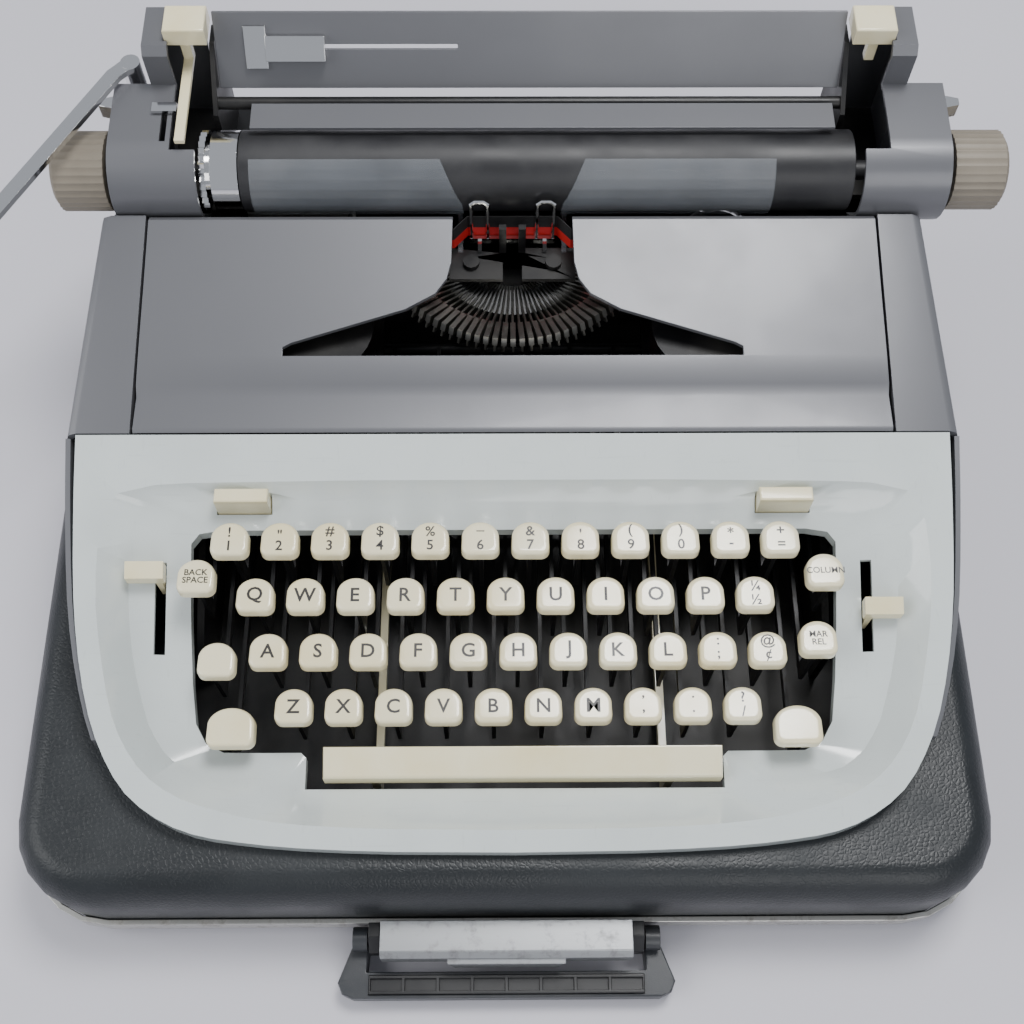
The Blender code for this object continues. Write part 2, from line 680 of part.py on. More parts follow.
def boolean(base, tool, operation):
    """The base mesh joined with, or cut by, the tool mesh."""
    body = to_object(base, "body")
    cutter = to_object(tool, "cutter")
    cutter.hide_render = True
    cutter.display_type = "WIRE"
    step = body.modifiers.new(operation, "BOOLEAN")
    step.operation = operation
    step.solver = "EXACT"
    step.object = cutter
    bm = from_object(body)
    bpy.data.objects.remove(cutter, do_unlink=True)
    bmesh.ops.remove_doubles(bm, verts=bm.verts, dist=MERGE)
    return bm


def join(base, *tools):
    """The base mesh with each tool mesh united to it in turn."""
    for tool in tools:
        base = boolean(base, tool, "UNION")
    return base


def cut(base, *tools):
    """The base mesh less each tool mesh in turn."""
    for tool in tools:
        base = boolean(base, tool, "DIFFERENCE")
    return base


def mirrored(bm, axis_x=0):
    """A copy of a mesh on the other side of the plane X = axis_x, and the mesh itself."""
    twin = bm.copy()
    bmesh.ops.scale(twin, vec=(-1, 1, 1), verts=twin.verts)
    bmesh.ops.translate(twin, vec=(2 * axis_x, 0, 0), verts=twin.verts)
    bmesh.ops.reverse_faces(twin, faces=twin.faces)
    return together(bm, twin)


def flipped(bm):
    """The mesh moved to the other side of the plane X = 0."""
    bmesh.ops.scale(bm, vec=(-1, 1, 1), verts=bm.verts)
    bmesh.ops.reverse_faces(bm, faces=bm.faces)
    return bm


def moved(bm, offset):
    """The mesh moved by an offset."""
    bmesh.ops.translate(bm, vec=offset, verts=bm.verts)
    return bm


def bevelled(bm, width, segments, wanted):
    """The mesh with the edges that wanted() picks rounded over."""
    edges = [edge for edge in bm.edges if wanted(edge)]
    bmesh.ops.bevel(bm, geom=edges, offset=width, segments=segments, profile=0.5, affect="EDGES", clamp_overlap=True)
    return bm


def level_edge(height):
    """A test for edges that lie flat at a height."""
    return lambda edge: all(abs(vert.co.z - height) < MERGE for vert in edge.verts)


def arc(centre, radius, start, end, count):
    """Points along an arc, both ends included; angles in radians."""
    u, v = centre
    angles = [lerp(start, end, index / (count - 1)) for index in range(count)]
    return [(u + radius * math.cos(angle), v + radius * math.sin(angle)) for angle in angles]


def rounded_rectangle(half_width, front, rear, radius, count):
    """A rectangle about X = 0 with round corners, anticlockwise from the front right."""
    quarter = math.pi / 2
    inner = half_width - radius
    corners = ((inner, front + radius, -quarter), (inner, rear - radius, 0),
               (-inner, rear - radius, quarter), (-inner, front + radius, math.pi))
    points = []
    for u, v, start in corners:
        points += arc((u, v), radius, start, start + quarter, count)
    return points


def offset_outline(points, distance):
    """An anticlockwise outline moved outwards by a distance, corner by corner."""
    moved_points = []
    for index, point in enumerate(points):
        here = Vector(point)
        before = (here - Vector(points[index - 1])).normalized()
        after = (Vector(points[(index + 1) % len(points)]) - here).normalized()
        normal = Vector((before.y + after.y, -before.x - after.x)).normalized()
        reach = distance / max(normal.dot(Vector((before.y, -before.x))), MITRE_LIMIT_SHARE)
        moved_points.append(tuple(here + normal * reach))
    return moved_points


def add_part(name, bm, surface, pivot=(0, 0, 0)):
    """One finished piece, with its own origin at the pivot, parented to the machine datum."""
    origin = Vector(pivot)
    bmesh.ops.translate(bm, vec=-origin, verts=bm.verts)
    bmesh.ops.recalc_face_normals(bm, faces=bm.faces)
    mesh = bpy.data.meshes.new(name)
    bm.to_mesh(mesh)
    bm.free()
    mesh.shade_smooth()
    mesh.set_sharp_from_angle(angle=math.radians(32))
    mesh.materials.append(material(surface))
    item = bpy.data.objects.new(name, mesh)
    bpy.data.collections["typewriter"].objects.link(item)
    item.parent = bpy.data.objects["machine_datum"]
    item.location = origin
    return item


def rim_z(y):
    """Height of the surround's rim at a distance from front to back."""
    share = (y - RIM_FRONT_Y) / (RIM_REAR_Y - RIM_FRONT_Y)
    return lerp(RIM_FRONT_Z, RIM_REAR_Z, share)


def well_z(y):
    """Height of the keyboard well's edge, flatter in front of the well, beside the space bar."""
    share = (y - WELL_FRONT_Y) / (WELL_REAR_Y - WELL_FRONT_Y)
    slope = NOTCH_SLOPE_SHARE if share < 0 else 1
    return lerp(WELL_FRONT_Z, WELL_REAR_Z, share * slope)


def with_middles(points, curved):
    """The points with one more between each two, on a smooth curve where asked and where no corner is sharp."""
    places = [Vector(point) for point in points]
    result = [points[0]]
    for index in range(len(places) - 1):
        start, end = places[index], places[index + 1]
        middle = (start + end) / 2
        if curved and 0 < index < len(places) - 2:
            before, after = places[index - 1], places[index + 2]
            turns = ((start - before).angle(end - start), (end - start).angle(after - end))
            if max(turns) < SHARP_TURN:
                middle += (start + end - before - after) * CURVE_PULL_SHARE
        result += [tuple(middle), points[index + 1]]
    return result


def rim_points(shares):
    """Half an outline given in shares of the surround's size, from the back middle to the front middle."""
    points = [(RIM_HALF_WIDTH * u, lerp(RIM_FRONT_Y, RIM_REAR_Y, v)) for u, v in shares]
    return with_middles(points, True)


def well_points():
    """Half the outline of the keyboard well, with the notch for the space bar."""
    points = [(WELL_HALF_WIDTH * u, lerp(WELL_FRONT_Y, WELL_REAR_Y, v)) for u, v in WELL_SHARES]
    points.append((NOTCH_HALF_WIDTH + NOTCH_FILLET, WELL_FRONT_Y))
    points.append((NOTCH_HALF_WIDTH, WELL_FRONT_Y - NOTCH_FILLET))
    points.append((NOTCH_HALF_WIDTH, NOTCH_FRONT_Y))
    points.append((NOTCH_HALF_WIDTH / 2, NOTCH_FRONT_Y))
    points.append((0, NOTCH_FRONT_Y))
    return with_middles(points, False)


def whole_ring(half, height):
    """A closed ring from half an outline, with the height given by a function of (x, y)."""
    right = [(x, y, height(x, y)) for x, y in half]
    left = [(-x, y, z) for x, y, z in reversed(right[1:-1])]
    return right + left


def rim_outline():
    """The rim's plan outline, anticlockwise."""
    half = rim_points(RIM_SHARES)
    right = list(reversed(half))
    left = [(-x, y) for x, y in half[1:-1]]
    return right + left


def bowl_blend(y):
    """How far the bowl's slope has turned from the gentle front (0) into the steep wall (1)."""
    share = (y - BOWL_BLEND_FRONT_Y) / (BOWL_BLEND_REAR_Y - BOWL_BLEND_FRONT_Y)
    return min(max(share, 0), 1)


def bowl_height(x, y):
    """Height of the foot of the bowl's wall."""
    return lerp(rim_z(y) - RIM_DISH, well_z(y), lerp(*BOWL_DROP_SHARES, bowl_blend(y)))


def slider_height(y):
    """Height of the bowl's side slope where the sliding levers run."""
    return lerp(rim_z(y) - RIM_DISH, well_z(y), SLIDER_DROP_SHARE)


def case_outline(inset):
    """Plan outline of the case, moved inwards by an inset."""
    return rounded_rectangle(CASE_HALF_WIDTH - inset, CASE_FRONT_Y + inset, CASE_REAR_Y - inset,
                             CASE_CORNER - inset, CASE_CORNER_POINTS)


def rolled_tray(inset, low_z, top_z):
    """Solid with the case's outline and a rolled upper edge."""
    reach, drop = CASE_ROLL_REACH - inset, CASE_ROLL_DROP - inset
    levels = [(0, low_z)]
    for step in range(CASE_ROLL_STEPS + 1):
        angle = math.pi / 2 * step / CASE_ROLL_STEPS
        levels.append((reach * (1 - math.cos(angle)), top_z - drop * (1 - math.sin(angle))))
    return loft([[(x, y, z) for x, y in case_outline(inset + along)] for along, z in levels])


def case_base():
    """Lower case shell: a deep tray with a rolled shoulder and a ledge round the machine."""
    outer = moved(rolled_tray(0, CASE_LOW_Z, CASE_TOP_Z), CASE_SHIFT)
    inner = moved(rolled_tray(CASE_WALL, CASE_FLOOR_Z, CASE_TOP_Z - CASE_WALL), CASE_SHIFT)
    ledge = offset_outline(rim_outline(), -CASE_LEDGE)
    limit = RIM_REAR_Y - 2 * CASE_LEDGE
    right = [point for point in ledge if point[0] > MERGE and point[1] < limit]
    right = sorted(right, key=lambda point: point[1])
    rear = BODY_BACK_Y - CASE_LEDGE
    outline = right + [(right[-1][0], rear), (-right[-1][0], rear)] + [(-x, y) for x, y in reversed(right)]
    opening = plate([outline], "XY", CASE_FLOOR_Z + OVERRUN, CASE_TOP_Z + OVERRUN)
    add_part("case_base", cut(outer, inner, opening), "case_grain")


def case_trim():
    """Bright band round the lower edge of the case."""
    inner = case_outline(-SEAT_GAP)
    outer = case_outline(-SEAT_GAP - TRIM_DEPTH)
    band = plate([inner, outer], "XY", TRIM_LOW_Z, TRIM_HIGH_Z)
    add_part("case_trim", moved(band, CASE_SHIFT), "case_metal")


def rubber_feet():
    """Four round feet under the corners of the case."""
    reach = CASE_HALF_WIDTH - FOOT_INSET_X
    places = {
        "front_left": (-reach, CASE_FRONT_Y + FOOT_INSET_Y), "front_right": (reach, CASE_FRONT_Y + FOOT_INSET_Y),
        "rear_left": (-reach, CASE_REAR_Y - FOOT_INSET_Y), "rear_right": (reach, CASE_REAR_Y - FOOT_INSET_Y),
    }
    for place, (u, v) in places.items():
        foot = rod((u, v, 0), (u, v, FOOT_HEIGHT), FOOT_TIP_RADIUS, 20, FOOT_RADIUS)
        add_part(f"rubber_foot_{place}", moved(foot, CASE_SHIFT), "foot_rubber")


def case_handle():
    """Handle plate, lugs, folding grip and its ribbed insert on the front of the case."""
    wall_y = CASE_FRONT_Y - TRIM_DEPTH - 2 * SEAT_GAP
    lip_y = wall_y - PLATE_REACH
    low_z = PLATE_TOP_Z - PLATE_DROP
    under_z = PLATE_TOP_Z - PLATE_WALL - SEAT_GAP
    profile = [(wall_y, under_z), (wall_y, PLATE_TOP_Z), (lip_y + PLATE_WALL, PLATE_TOP_Z),
               (lip_y, PLATE_TOP_Z - PLATE_WALL), (lip_y, low_z), (lip_y + PLATE_WALL, low_z),
               (lip_y + PLATE_WALL, under_z)]
    cover = plate([profile], "YZ", -PLATE_HALF_WIDTH, PLATE_HALF_WIDTH)
    foot_half = TAB_HALF_WIDTH - TAB_DEPTH
    tab_outline = [(-TAB_HALF_WIDTH, low_z + TAB_HEIGHT), (TAB_HALF_WIDTH, low_z + TAB_HEIGHT),
                   (foot_half, low_z - TAB_DROP), (-foot_half, low_z - TAB_DROP)]
    tab = plate([tab_outline], "XZ", lip_y - TAB_DEPTH + WELD, lip_y + PLATE_WALL / 2)
    add_part("handle_plate", moved(join(cover, tab), CASE_SHIFT), "case_metal")

    lug_x = PLATE_HALF_WIDTH + SEAT_GAP
    lug_profile = [(wall_y, LUG_LOW_Z), (wall_y, LUG_LOW_Z + LUG_HEIGHT),
                   (wall_y - LUG_REACH / 2, LUG_LOW_Z + LUG_HEIGHT), (wall_y - LUG_REACH, LUG_LOW_Z + LUG_HEIGHT / 2),
                   (wall_y - LUG_REACH, LUG_LOW_Z)]
    for side, name in ((-1, "handle_lug_left"), (1, "handle_lug_right")):
        lug = plate([lug_profile], "YZ", lug_x, lug_x + LUG_WIDTH - GRIP_ARM_WIDTH - SEAT_GAP)
        lug = lug if side > 0 else flipped(lug)
        add_part(name, moved(lug, CASE_SHIFT), "black_plastic")

    pivot_y = wall_y - GRIP_PIVOT_REACH
    arm_x = lug_x + LUG_WIDTH - GRIP_ARM_WIDTH
    high_z = GRIP_LOW_Z + GRIP_THICKNESS
    bar_y = GRIP_FRONT_Y + GRIP_BAR_DEPTH
    bend = GRIP_CORNER * GRIP_CORNER_SHARE
    outer = [(GRIP_FRONT_HALF_WIDTH - GRIP_CORNER, GRIP_FRONT_Y), (GRIP_FRONT_HALF_WIDTH - bend, GRIP_FRONT_Y + bend),
             (GRIP_FRONT_HALF_WIDTH, GRIP_FRONT_Y + GRIP_CORNER), (arm_x + GRIP_ARM_WIDTH, pivot_y),
             (arm_x, pivot_y), (INSERT_HALF_WIDTH + INSERT_RIB, bar_y), (0, bar_y)]
    outline = outer + [(-x, y) for x, y in reversed(outer) if x > 0]
    frame = plate([outline], "XY", GRIP_LOW_Z, high_z)
    frame = bevelled(frame, GRIP_EDGE, 2, level_edge(high_z))
    eye = rod((arm_x + SEAT_GAP, pivot_y, GRIP_PIVOT_Z), (arm_x + GRIP_ARM_WIDTH, pivot_y, GRIP_PIVOT_Z),
              GRIP_EYE_RADIUS, 12)
    neck = box((arm_x + SEAT_GAP, pivot_y - GRIP_ARM_WIDTH / 2, GRIP_LOW_Z + WELD),
               (arm_x + GRIP_ARM_WIDTH - SEAT_GAP, pivot_y + GRIP_ARM_WIDTH / 2, GRIP_PIVOT_Z))
    pocket_front = GRIP_FRONT_Y + (GRIP_BAR_DEPTH - INSERT_DEPTH) / 2
    pocket = box((-INSERT_HALF_WIDTH - SEAT_GAP, pocket_front - SEAT_GAP, high_z - INSERT_HEIGHT / 2),
                 (INSERT_HALF_WIDTH + SEAT_GAP, pocket_front + INSERT_DEPTH + SEAT_GAP, high_z + OVERRUN))
    grip = cut(join(frame, mirrored(eye), mirrored(neck)), pocket)
    pivot = (CASE_X, pivot_y, GRIP_PIVOT_Z)
    add_part("handle_grip", moved(grip, CASE_SHIFT), "grip_grey", pivot)

    floor_z = high_z - INSERT_HEIGHT / 2 + SEAT_GAP
    pad = box((-INSERT_HALF_WIDTH, pocket_front, floor_z),
              (INSERT_HALF_WIDTH, pocket_front + INSERT_DEPTH, floor_z + INSERT_HEIGHT))
    cells = []
    pitch = 2 * INSERT_HALF_WIDTH / INSERT_CELLS
    for index in range(INSERT_CELLS):
        left = -INSERT_HALF_WIDTH + index * pitch + INSERT_RIB / 2
        cells.append(box((left, pocket_front + INSERT_RIB, floor_z + INSERT_HEIGHT / 2),
                         (left + pitch - INSERT_RIB, pocket_front + INSERT_DEPTH - INSERT_RIB, floor_z + OVERRUN)))
    insert = cut(pad, together(*cells))
    add_part("handle_insert", moved(insert, CASE_SHIFT), "black_plastic", pivot)


def keyboard_surround():
    """White surround: a flat rim, a dished bowl and the lip of the keyboard well, as one thin shell."""
    outer = rim_points(RIM_SHARES)
    inner = rim_points(BOWL_SHARES)
    well = well_points()
    half_way = []
    for edge, lip in zip(inner, well):
        share = lerp(*BOWL_PLAN_SHARES, bowl_blend(edge[1]))
        half_way.append((lerp(edge[0], lip[0], share), lerp(edge[1], lip[1], share)))

    def skirt_z(x, y):
        at_back = y > RIM_REAR_Y - REAR_SKIRT
        return rim_z(y) - REAR_SKIRT if at_back else SKIRT_LOW_Z

    rings = [
        whole_ring(outer, skirt_z),
        whole_ring(outer, lambda x, y: rim_z(y)),
        whole_ring(inner, lambda x, y: rim_z(y) - RIM_DISH),
        whole_ring(half_way, bowl_height),
        whole_ring(well, lambda x, y: well_z(y)),
        whole_ring(well, lambda x, y: well_z(y) - WELL_LIP),
    ]
    bm = bmesh.new()
    rows = [[bm.verts.new(point) for point in ring] for ring in rings]
    for upper, lower in zip(rows, rows[1:]):
        for index, start in enumerate(upper):
            following = (index + 1) % len(upper)
            bm.faces.new((start, upper[following], lower[following], lower[index]))
    bmesh.ops.recalc_face_normals(bm, faces=bm.faces)
    top = max(bm.faces, key=lambda face: face.calc_center_median().z)
    if top.normal.z < 0:
        bmesh.ops.reverse_faces(bm, faces=bm.faces)
    skin = to_object(bm, "skin")
    thick = skin.modifiers.new("wall", "SOLIDIFY")
    thick.thickness = SURROUND_WALL
    thick.offset = -1
    shell = from_object(skin)
    half_slot = SLIDER_SLOT_WIDTH / 2
    slot = box((SLIDER_SLOT_X - half_slot, SLIDER_SLOT_FRONT_Y, SKIRT_LOW_Z),
               (SLIDER_SLOT_X + half_slot, SLIDER_SLOT_REAR_Y, RIM_REAR_Z + OVERRUN))
    half_key = STOP_KEY_WIDTH / 2 + RUNNING_GAP
    window = box((STOP_KEY_X - half_key, STOP_KEY_Y - STOP_KEY_DEPTH / 2 - RUNNING_GAP, SKIRT_LOW_Z),
                 (STOP_KEY_X + half_key, STOP_KEY_Y + STOP_KEY_DEPTH / 2 + RUNNING_GAP, RIM_REAR_Z + OVERRUN))
    add_part("keyboard_surround", cut(shell, mirrored(slot), mirrored(window)), "white_gloss")


def shoulder_section(y, inner_x, outer_x, top_z):
    """Section across one shoulder of the body shell at a distance from front to back."""
    low = SKIRT_LOW_Z
    foot_x = outer_x + BODY_FLARE
    bend = BODY_CORNER * BODY_BEND_SHARE
    return [(inner_x, y, top_z - BODY_FLANGE), (inner_x, y, top_z), (outer_x - BODY_CORNER, y, top_z),
            (outer_x - bend, y, top_z - bend), (outer_x, y, top_z - BODY_CORNER), (foot_x, y, low),
            (foot_x - BODY_WALL, y, low), (outer_x - BODY_WALL, y, top_z - BODY_CORNER),
            (outer_x - BODY_CORNER, y, top_z - BODY_WALL), (inner_x + BODY_WALL, y, top_z - BODY_WALL),
            (inner_x + BODY_WALL, y, top_z - BODY_FLANGE)]


def wall_section(y, outer_x, top_z):
    """Section across the thin side wall of the body shell."""
    low = SKIRT_LOW_Z
    return [(outer_x - BODY_WALL, y, low), (outer_x - BODY_WALL, y, top_z), (outer_x, y, top_z), (outer_x, y, low)]


def cover_z(y):
    """Height of the top of the ribbon cover and of the shoulders beside it."""
    share = (y - COVER_FRONT_Y) / (COVER_REAR_Y - COVER_FRONT_Y)
    return lerp(COVER_FRONT_Z, COVER_REAR_Z, share)


def body_shell():
    """Grey body: a shoulder each side of the ribbon cover, side walls and the back."""
    front, rear = COVER_FRONT_Y, COVER_REAR_Y
    sections = []
    for share in (0, 0.5, 1):
        y = lerp(front, rear, share)
        inner_x = lerp(GROOVE_FRONT_X, GROOVE_REAR_X, share) + GROOVE_HALF
        outer_x = lerp(BODY_FRONT_HALF_WIDTH, BODY_REAR_HALF_WIDTH, share)
        sections.append(shoulder_section(y, inner_x, outer_x, cover_z(y)))
    shoulder = loft(sections)

    foot_x = BODY_REAR_HALF_WIDTH + BODY_FLARE
    side = loft([wall_section(rear - BODY_WALL, foot_x, BODY_BACK_Z), wall_section(BODY_BACK_Y, foot_x, BODY_BACK_Z)])
    cheek_low = foot_x - BODY_WALL - WELD
    cheek = plate([[(cheek_low, SKIRT_LOW_Z), (foot_x - WELD, SKIRT_LOW_Z), (foot_x - WELD, BODY_BACK_Z - WELD),
                    (cheek_low, BODY_BACK_Z - WELD)]], "XZ", rear - 2 * BODY_WALL, rear + BODY_WALL)

    nose = []
    spread = BODY_FRONT_HALF_WIDTH - RIM_HALF_WIDTH - SEAT_GAP - BODY_WALL
    half = [point for point in rim_points(RIM_SHARES) if point[0] > RIM_HALF_WIDTH * NOSE_START_SHARE and point[1] < front]
    for x, y in half[1:]:
        share = (y - BODY_NOSE_Y) / (front - BODY_NOSE_Y)
        edge = x + SEAT_GAP + BODY_WALL + spread * max(share, 0)
        nose.append(wall_section(y, edge, rim_z(y) - RIM_STEP))
    start_x = BODY_FRONT_HALF_WIDTH + BODY_FLARE * NOSE_FLARE_SHARE
    nose.insert(0, wall_section(front + BODY_WALL, start_x, rim_z(front) - RIM_STEP - BODY_CORNER))
    cheek_front = loft(nose)

    back = box((-foot_x + WELD, BODY_BACK_Y - BODY_WALL, SKIRT_LOW_Z),
               (foot_x - WELD, BODY_BACK_Y - WELD, BODY_BACK_Z - WELD))
    halves = join(shoulder, side, cheek, cheek_front)
    add_part("body_shell", join(mirrored(halves), back), "grey_paint")


def opening_outline():
    """Plan of the window in the ribbon cover, anticlockwise, running out through the cover's back edge."""
    depth = COVER_REAR_Y - OPENING_FRONT_Y
    right = [(OPENING_HALF_WIDTH * u, OPENING_FRONT_Y + depth * v) for u, v in OPENING_SHARES]
    right.append((NECK_HALF_WIDTH, COVER_REAR_Y + OVERRUN))
    return right + [(-x, y) for x, y in reversed(right)]


def ribbon_cover():
    """Hinged ribbon cover: a folded sheet with side flanges, hinge pins and the type window."""
    depth = COVER_REAR_Y - COVER_FRONT_Y
    rise = COVER_REAR_Z - COVER_FRONT_Z
    profile = [(COVER_FRONT_Y + depth * u, COVER_FRONT_Z + rise * v) for u, v in COVER_PROFILE_SHARES]
    bm = bmesh.new()
    rows = []
    for y, z in profile:
        share = (y - COVER_FRONT_Y) / depth
        edge = lerp(GROOVE_FRONT_X, GROOVE_REAR_X, share) - GROOVE_HALF
        row = [bm.verts.new((-edge, y, z - COVER_FLANGE))]
        row += [bm.verts.new((edge * station, y, z)) for station in COVER_STATIONS_SHARE]
        row.append(bm.verts.new((edge, y, z - COVER_FLANGE)))
        rows.append(row)
    for near, far in zip(rows, rows[1:]):
        for index in range(len(near) - 1):
            bm.faces.new((near[index], near[index + 1], far[index + 1], far[index]))
    bmesh.ops.recalc_face_normals(bm, faces=bm.faces)
    middle = max(bm.faces, key=lambda face: face.calc_center_median().z)
    if middle.normal.z < 0:
        bmesh.ops.reverse_faces(bm, faces=bm.faces)
    skin = to_object(bm, "skin")
    thick = skin.modifiers.new("wall", "SOLIDIFY")
    thick.thickness = COVER_WALL
    thick.offset = -1
    sheet = from_object(skin)
    window = plate([opening_outline()], "XY", COVER_FRONT_Z - 2 * COVER_FLANGE, COVER_REAR_Z + OVERRUN)
    sheet = cut(sheet, window)
    pin_y = COVER_FRONT_Y + 2 * COVER_PIN_RADIUS
    pin_z = COVER_FRONT_Z - COVER_FLANGE / 2
    pin_x = GROOVE_FRONT_X - GROOVE_HALF - COVER_WALL / 2
    pin = rod((pin_x, pin_y, pin_z), (GROOVE_FRONT_X + GROOVE_HALF - SEAT_GAP, pin_y, pin_z), COVER_PIN_RADIUS, 10)
    hinge = (0, COVER_FRONT_Y, COVER_FRONT_Z)
    add_part("ribbon_cover", join(sheet, mirrored(pin)), "grey_paint", hinge)


def main_frame():
    """Black inner frame: floor, side plates, type bridge, spool shelves and the carriage rail."""
    floor = box((-FRAME_HALF_WIDTH, FRAME_FRONT_Y, FRAME_LOW_Z), (FRAME_HALF_WIDTH, FRAME_REAR_Y, FRAME_FLOOR_Z))
    side_profile = [(FRAME_SIDE_FRONT_Y, FRAME_FLOOR_Z - WELD), (FRAME_REAR_Y, FRAME_FLOOR_Z - WELD),
                    (FRAME_REAR_Y, RAIL_TOP_Z - RAIL_HEIGHT + WELD), (FRAME_STEP_Y, RAIL_TOP_Z - RAIL_HEIGHT + WELD),
                    (FRAME_STEP_Y, FRAME_SIDE_TOP_Z), (FRAME_SIDE_FRONT_Y, LOW_LEVER_Z)]
    side = plate([side_profile], "YZ", FRAME_SIDE_X, FRAME_SIDE_X + FRAME_SIDE_WALL)
    middle_x = FRAME_SIDE_X + WELD
    bridge = box((-middle_x, BRIDGE_FRONT_Y, BRIDGE_TOP_Z - BRIDGE_HEIGHT), (middle_x, BRIDGE_REAR_Y, BRIDGE_TOP_Z))
    shelf_rear = BRIDGE_FRONT_Y + WELD
    shelf = box((SHELF_INNER_X, SPOOL_Y - SPOOL_RADIUS, SHELF_TOP_Z - SHELF_THICKNESS),
                (middle_x, shelf_rear + (BRIDGE_REAR_Y - BRIDGE_FRONT_Y) / 2, SHELF_TOP_Z))
    spindle = rod((SPOOL_X, SPOOL_Y, SHELF_TOP_Z - WELD), (SPOOL_X, SPOOL_Y, SHELF_TOP_Z + SPOOL_HEIGHT),
                  SPINDLE_RADIUS, 12)
    post = rod((GUIDE_POST_X, GUIDE_REAR_Y - GUIDE_POST_RADIUS, BRIDGE_TOP_Z - WELD),
               (GUIDE_POST_X, GUIDE_REAR_Y - GUIDE_POST_RADIUS, GUIDE_Z - SEAT_GAP), GUIDE_POST_RADIUS, 10)
    rail = box((-RAIL_HALF_LENGTH, RAIL_FRONT_Y, RAIL_TOP_Z - RAIL_HEIGHT),
               (RAIL_HALF_LENGTH, RAIL_FRONT_Y + RAIL_DEPTH, RAIL_TOP_Z))
    bell_post = rod((BELL_X, BELL_Y, FRAME_FLOOR_Z - WELD), (BELL_X, BELL_Y, BELL_LOW_Z + BELL_HEIGHT - BELL_WALL - SEAT_GAP),
                    BELL_POST_RADIUS, 10)
    drum_post = rod((DRUM_X, DRUM_Y, FRAME_FLOOR_Z - WELD), (DRUM_X, DRUM_Y, DRUM_LOW_Z - SEAT_GAP), DRUM_HUB, 10)
    frame = join(floor, mirrored(side), bridge, mirrored(shelf), mirrored(spindle), mirrored(post), rail)
    add_part("main_frame", join(frame, together(bell_post, drum_post)), "frame_black")


def fan_matrix(angle):
    """Carries a shape drawn in the plane X = 0, with +Y outwards, to its place in the fan of type bars."""
    turn = Matrix.Rotation(math.pi + angle, 4, "Z")
    return Matrix.Translation((0, PRINT_Y, 0)) @ turn


def fan_angles():
    """Angles of the type bars, measured from straight ahead; the middle one belongs to the H key."""
    return [lerp(-FAN_ANGLE / 2, FAN_ANGLE / 2, index / (BAR_COUNT - 1)) for index in range(BAR_COUNT)]


def bar_outline(hub_drop):
    """Side view of one type bar at rest, as (radius from the printing line, height)."""
    cosine, sine = math.cos(BAR_SLOPE), math.sin(BAR_SLOPE)

    def place(along, above):
        return (PIVOT_RADIUS + along * cosine - above * sine, PIVOT_Z + along * sine + above * cosine)

    half = BAR_HEIGHT / 2
    slug_start = BAR_LENGTH + SLUG_TIP - SLUG_LENGTH
    return [(PIVOT_RADIUS - half, PIVOT_Z - hub_drop), (PIVOT_RADIUS + half, PIVOT_Z - hub_drop),
            place(BAR_HEIGHT, -half), place(BAR_LENGTH + SLUG_TIP, -half), place(BAR_LENGTH + SLUG_TIP, half),
            place(slug_start, half), place(0, half)]


def slug_block():
    """The type slug that sits on the outer end of a bar, drawn in the plane of the bar."""
    cosine, sine = math.cos(BAR_SLOPE), math.sin(BAR_SLOPE)

    def place(along, above):
        return (PIVOT_RADIUS + along * cosine - above * sine, PIVOT_Z + along * sine + above * cosine)

    start = BAR_LENGTH + SLUG_TIP - SLUG_LENGTH
    low = BAR_HEIGHT / 2 - WELD
    outline = [place(start, low), place(BAR_LENGTH + SLUG_TIP, low), place(BAR_LENGTH + SLUG_TIP, low + SLUG_THICKNESS),
               place(start + SLUG_THICKNESS / 2, low + SLUG_THICKNESS)]
    return plate([outline], "YZ", -SLUG_WIDTH / 2, SLUG_WIDTH / 2)


def placed(bm, matrix):
    """The mesh carried by a matrix."""
    bmesh.ops.transform(bm, matrix=matrix, verts=bm.verts)
    return bm


